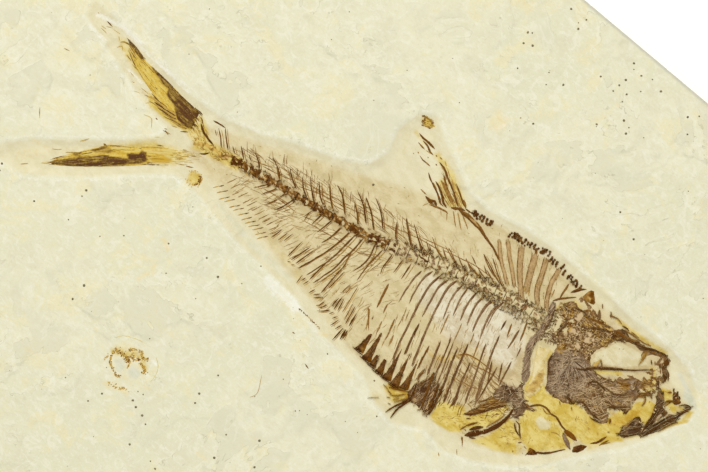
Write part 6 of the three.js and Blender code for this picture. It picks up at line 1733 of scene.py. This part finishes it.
def make_fins():
    dorsal = Heap()
    for points, first, last, ink, *own in lines_of(DORSAL):
        splint(dorsal, points, first * 1.15, last * 1.15, ink - 0.12, 0.24, 0.0, own[0] if own else 0.35)
    membrane = path(6.4, 18.2, 9, 17.2, 11.2, 15.7, 13.8, 13.6, 13.2, 12.6, 10.6, 12.2, 7.6, 14.4, 7.6, 16.2)
    splinters(dorsal, membrane, 90, -38, 1.6, 0.1, 132, (0.0, 0.8), 0.0, 0.12, 6, 1.0, 0.7)
    knot = path(15.1, 13, 15.1, 13.8, 16, 13.6, 16.3, 13, 15.8, 12.8)
    splinters(dorsal, knot, 26, 10, 0.5, 0.3, 133, (0.7, 1.3), 0.0, 0.34, 60)
    dorsal.piece("dorsal_rays", "brown_bone", "dorsal_fin")

    anal = Heap()
    for points, first, last, ink in lines_of(ANAL):
        splint(anal, points, first * 0.78, last * 0.8, ink, 0.2, 0.0, 0.2)
        splint(anal, [(x + 0.25, y - 0.1) for x, y in points], 0.12, 0.1, ink - 0.4, 0.14, 0.0, 0.9)
    for k, (x, y) in enumerate(ANAL_ROW):
        seeded = random.Random(k + 400)
        splint(anal, [(x - 0.35, y - 0.3), (x, y), (x + 0.3, y + 0.3)], 0.18, 0.28, seeded.uniform(0.7, 1.0),
                0.2)
        splint(anal, [(x - 1.1, y - 1), (x - 0.3, y - 0.2)], 0.16, 0.24, 0.3, 0.14, 0.0, 1.0)
        splint(anal, [(x + 0.5, y + 0.8), (x + 1, y + 1.5), (x + 1.6, y + 2.4)], 0.18, 0.1,
                seeded.uniform(0.4, 0.75), 0.14, 0.0, 0.4)
    anal.piece("anal_rays", "brown_bone", "anal_fin")

    pelvic = Heap()
    # The pale patch at 22.5, -18.7 is a painted highlight, a white glint.
    plaque(pelvic, PELVIC_MASS, 0.32, 0.26, 0.25, patched(0.75, [("pale", 22.5, -18.7, 0.4, 0.3),
            ("dark", 23, -16.4, 0.9, 0.8)], 0.4))
    splinters(pelvic, PELVIC_MASS, 110, 78, 1.1, 0.16, 131, (-0.4, 1.0), 0.9, 0.5, 18, 0.2)
    strokes(pelvic, PELVIC, 0.52)
    fringe = path(
        21.2, -17, 22.2, -15.4, 22.8, -13.4, 23.4, -13.4, 23.8, -15, 24.8, -14.6, 25.4, -17, 25.4, -18.8,
        22.4, -18.6,
    )
    splinters(pelvic, fringe, 56, 84, 1.5, 0.18, 135, (0.3, 1.1), 0.8, 0.46, 7, 0.1)
    pelvic.piece("pelvic_bones", "brown_bone", "pelvic_fin")

    pectoral = Heap()
    plaque(pectoral, PECTORAL_FAN, 0.2, 0.28, 0.2, patched(0.5, [("gold", 33.6, -13, 0.8, 1.2)], 0.0, 0.3))
    splinters(pectoral, PECTORAL_FAN, 70, 42, 1.6, 0.14, 134, (0.2, 1.0), 0.1, 0.4, 8, 0.7)
    strokes(pectoral, PECTORAL, 0.38)
    pectoral.piece("pectoral_rays", "brown_bone", "pectoral_fin")
    spine = Heap()
    strokes(spine, PECTORAL_SPINE[:3], 0.3)
    strokes(spine, PECTORAL_SPINE[3:], 0.42)
    spine.piece("pectoral_spine_bone", "brown_bone", "pectoral_spine")

    upper = Heap()
    lobe(upper, UPPER_LOBE_EDGES, 16, 81.0, 12, 4)
    striate(upper, UPPER_LOBE_EDGES, 240, 211, (-0.2, 1.0), 0.12)
    strokes(upper, UPPER_LOBE_RAYS, 0.18, 0.4)
    for shape, count in ((LOBE_PATCHES[0][0], 150), (LOBE_PATCHES[1][0], 20)):
        splinters(upper, shape, count, -16, 1.3, 0.13, 220, (0.5, 1.2), 0.8, 0.34, 5, 0.1)
    fork = path(-32.8, 5, -31.4, 4.4, -29, 2.2, -30, 0.4, -32.4, 0.8, -33, 2)
    splinters(upper, fork, 46, -34, 1.3, 0.13, 221, (0.0, 0.9), 0.0, 0.12, 12, 1.0, 0.8)
    upper.piece("upper_tail_film", "amber_film", "tail_upper_lobe")

    lower = Heap()
    lobe(lower, LOWER_LOBE_EDGES, 14, 83.0, 8, 22)
    striate(lower, LOWER_LOBE_EDGES, 240, 212, (-0.2, 1.0), 0.12)
    strokes(lower, LOWER_LOBE_RAYS, 0.18, 0.4)
    splinters(lower, LOBE_PATCHES[2][0], 130, 36, 1.3, 0.13, 222, (0.5, 1.2), 0.8, 0.34, 5, 0.1)
    splinters(lower, path(-32.6, -2.2, -28.4, -0.4, -29.4, -3.4, -32.6, -5.2), 40, 28, 1.3, 0.1, 223,
            (0.0, 0.6), 0.0, 0.1, 8, 1.0, 0.7)
    lower.piece("lower_tail_film", "amber_film", "tail_lower_lobe")


# ---------------------------------------------------------------- grains and marks in the stone

SPECKS = path(
    12.4, 50.8, 15.1, 48.5, 8.1, 43.8, 8.4, 41.9, 9.9, 42.3, 17.6, 39.2, 25.7, 36.3, 22.3, 43.5, 25.3, 42.5,
    25.7, 43.8, 26.2, 45.1, 27.5, 43.1, 26, 48.2, 28.1, 47, 32.2, 46.4, 30.7, 37.4, 16.5, 31.1, 29.3, 39.1,
    39.6, 42.4, 38.2, 44.9, -56.8, -18.9, -49, -21.6, -42.4, -15.7, -19.4, -15.4, -16.2, -17.2, -26.1, -16.5,
    -35.3, -32.5, -34.8, -29.6, -9.2, -35.6, -9, -37.3, -1.9, -39.3, -1.7, -43.6, 4.9, -41.6, 3.4, -37.4,
    -8, -31.4, -18.2, -42.1, -17.2, -42.8, -15.6, -43.5, -14.4, -44.5, -23.2, -43.7, -24.6, -45.9,
    -15, -48.7, -9.3, -50.1, -1.5, 9, 36.4, 25.6, 40.6, 22.8,
)
FAINT_SPECKS = path(
    15.5, 50.5, 14.6, 49.4, 8.8, 44.1, 9.6, 37.8, 14.5, 39.8, 15.1, 37.8, 14.2, 30.9, 27.5, 41.7, 26.5, 47.3,
    29.3, 44.7, 30, 47.4, 30.6, 38.5, 33.6, 38.3, -56.5, -20, -42.5, -16.9, -42.5, -21.4, -36.6, -21.2,
    -33.2, -19.1, -24, -21, -12.2, -16.2, -17.6, -22.2, -10.6, -49.4, -29.8, -44.4, -20.9, -31.8,
    -18.2, -40.4, -17.2, -40.4, 6, -19.2, 6.1, -30.1, 6.7, -29.7, 15, -19.2, 39.8, 46, 4.1, 28, -10.9, -12.1,
    18.3, -24.1,
)


def grain_of(heap, x, y, z, size, flat, shade=(1.0, 0.0, 0.0)):
    """One small angular grain, half buried."""
    seeded = random.Random(round(x * 97 + y * 31))
    sides = 7
    turn = seeded.uniform(0, math.tau)
    made = []
    for level, share in ((-0.3, 0.8), (0.25, 1.0), (0.75, 0.6)):
        for k in range(sides):
            angle = turn + math.tau * k / sides
            r = size * share * seeded.uniform(0.8, 1.15)
            made.append((x + r * math.cos(angle), y + r * math.sin(angle), z + level * flat))
    made.append((x, y, z + flat))
    faces = [tuple(reversed(range(sides)))]
    for row in range(2):
        for k in range(sides):
            a, b = row * sides + k, row * sides + (k + 1) % sides
            faces.append((a, b, b + sides, a + sides))
    faces += [(2 * sides + k, 2 * sides + (k + 1) % sides, 3 * sides) for k in range(sides)]
    heap.add(made, faces, [(x, y, 1.0)] * len(made), shade)


def make_specks():
    seeded = random.Random(17)
    specks = Heap()
    for places, least, most in ((SPECKS, 0.16, 0.23), (FAINT_SPECKS, 0.1, 0.15)):
        for x, y in places:
            grain_of(specks, *to_plate(x, y), surface(x, y), seeded.uniform(least, most), 0.08)
    for _ in range(320):
        px, py = seeded.uniform(LEFT + 3, RIGHT - 3), seeded.uniform(BOTTOM + 3, TOP - 3)
        x, y = to_fish(px, py)
        in_view = abs(x) < 62 and -48 < y < 50
        if reach(np.array([[x, y]]), BED)[0] > -1 or (in_view and seeded.random() < 0.6):
            continue
        grain_of(specks, px, py, surface(x, y), seeded.uniform(0.05, 0.1), 0.05)
    specks.piece("dark_specks", "limestone", finish="specks")


def make_spot():
    """The round patch of amber crust by the tip of the back fin."""
    spot = Heap()
    round_patch = path(
        0.1, 23.2, 0.5, 23.5, 1.4, 23.4, 2, 23, 2.6, 22.6, 2, 22, 1.4, 21.7, 0.6, 21.6, 0.3, 22.3,
    )
    plaque(spot, round_patch, 0.12, 0.22, 0.1, patched(-0.1, (), 0.0, 0.8, 0.5))
    splinters(spot, round_patch, 90, 0, 0.22, 0.16, 140, (-0.1, 1.0), 0.0, 0.26, 90, 1.0)
    beads(spot, path(0.4, 22.2, 0.5, 23, 1.2, 23.1, 1.9, 22.9, 1.8, 22.4), 40, 0.12, 0.14, (0.4, 1.1), 141)
    beads(spot, path(0.6, 21.8, 1.2, 21.9, 1.7, 22, 2.4, 22.6), 30, 0.1, 0.13, (0.3, 1.0), 142)
    beads(spot, [(-0.1, 23.1), (0.2, 23.1)], 8, 0.08, 0.12, (0.4, 0.9), 143)
    spot.piece("amber_spot", "amber_film")


def make_ring():
    """The mineral ring below the fish: crusts of brown grains round two clear windows."""
    ring = Heap()
    for line, count, stray, inks, seed in [
        (path(-25, -36.2, -24.6, -36.3, -23.5, -36.2, -22, -36.7), 130, 0.2, (0.1, 1.0), 144),
        (path(-25.1, -36.6, -24.9, -37.8, -24.4, -38.7, -23.2, -39.6, -22.6, -39.9, -22, -39.5), 120, 0.11,
         (0.2, 1.0), 145),
        (path(-23, -35.2, -22.4, -34.6, -21.6, -34.5, -20.8, -34.5, -20.4, -35.1, -19.6, -35.2,
         -19.5, -34.8), 100, 0.13, (0.1, 0.9), 146),
        ([(-22.2, -35.2), (-21.8, -36), (-20.8, -35.7)], 50, 0.2, (0.0, 0.8), 147),
        ([(-20.9, -35.6), (-20.6, -35.8)], 16, 0.1, (0.8, 1.2), 148),
        (path(-20, -36.2, -19.4, -36.4, -18.9, -36.9, -19, -37.4), 70, 0.16, (0.2, 1.1), 149),
        ([(-21.8, -36.8), (-21.7, -38)], 20, 0.06, (0.1, 0.6), 150),
        ([(-25.6, -37.2), (-25.6, -38.6)], 14, 0.08, (0.0, 0.5), 151),
        ([(-23.4, -41.4), (-21.8, -41.6), (-20, -41)], 40, 0.22, (0.0, 0.5), 152),
        ([(-22.4, -37), (-22.2, -36.8)], 18, 0.14, (0.3, 0.9), 153),
    ]:
        beads(ring, line, count, stray, 0.1, (inks[0] - 0.25, inks[1]), seed, 1.0)
    for points in (
        path(-26.1, -34.6, -25, -33.6, -23, -33, -21, -32.8),
        path(-18.4, -34, -17.4, -35, -17, -36.4, -17.2, -38),
    ):
        splint(ring, points, 0.12, 0.1, 0.0, 0.06, 0.0, 0.4, 0.25, 0.6)
    ring.piece("mineral_ring", "amber_film")
    little = Heap()
    circle = [(-27.9 + 1.15 * math.cos(a), -5 + 1.1 * math.sin(a)) for a in np.linspace(-2.6, 2.5, 12)]
    beads(little, circle, 60, 0.2, 0.1, (-0.9, -0.1), 154, 1.0)
    beads(little, [(-27.2, -6), (-26.8, -5.1), (-27.1, -4.2)], 44, 0.1, 0.12, (0.5, 1.2), 155)
    little.piece("small_mineral_ring", "amber_film")


# ---------------------------------------------------------------- stage


def make_stage():
    floor_mesh = bpy.data.meshes.new("floor")
    size = 1.5
    floor_mesh.from_pydata([(-size, -size, 0), (size, -size, 0), (size, size, 0), (-size, size, 0)], [],
            [(0, 1, 2, 3)])
    floor = bpy.data.objects.new("floor", floor_mesh)
    paper = Finish("studio paper")
    paper.set("Base Color", (0.95, 0.95, 0.95, 1.0))
    paper.set("Roughness", 0.9)
    paper.set("Emission Color", (1.0, 1.0, 1.0, 1.0))
    paper.set("Emission Strength", 0.12)
    floor_mesh.materials.append(paper.material)
    bpy.context.scene.collection.objects.link(floor)

    world = bpy.data.worlds.new("studio")
    bpy.context.scene.world = world
    world.use_nodes = True
    world.node_tree.nodes["Background"].inputs["Color"].default_value = (1.0, 1.0, 1.0, 1.0)
    world.node_tree.nodes["Background"].inputs["Strength"].default_value = 0.62

    for name, at, size, power in [
        ("window", (-0.45, 0.3, 0.7), 0.5, 3.6), ("fill", (0.5, -0.25, 0.8), 0.7, 1.2),
    ]:
        data = bpy.data.lights.new(name, "AREA")
        data.size = size
        data.energy = power
        lamp = bpy.data.objects.new(name, data)
        lamp.location = at
        lamp.rotation_euler = (-Vector(at)).to_track_quat("-Z", "Y").to_euler()
        bpy.context.scene.collection.objects.link(lamp)


def make_camera():
    data = bpy.data.cameras.new("camera")
    data.lens = LENS
    data.sensor_width = SENSOR
    camera = bpy.data.objects.new("camera", data)
    away = VIEW_WIDTH * LENS / SENSOR
    camera.location = Vector((*FISH_AT, FACE - BED_DEPTH + away)) * MM
    camera.rotation_euler = (0.0, 0.0, CAMERA_TURN)
    bpy.context.scene.collection.objects.link(camera)
    bpy.context.scene.camera = camera
    bpy.context.scene.view_settings.view_transform = "Standard"


make_camera()
make_stage()
make_plate()
make_head()
make_backbone()
make_body()
make_flecks()
make_fins()
make_specks()
make_spot()
make_ring()
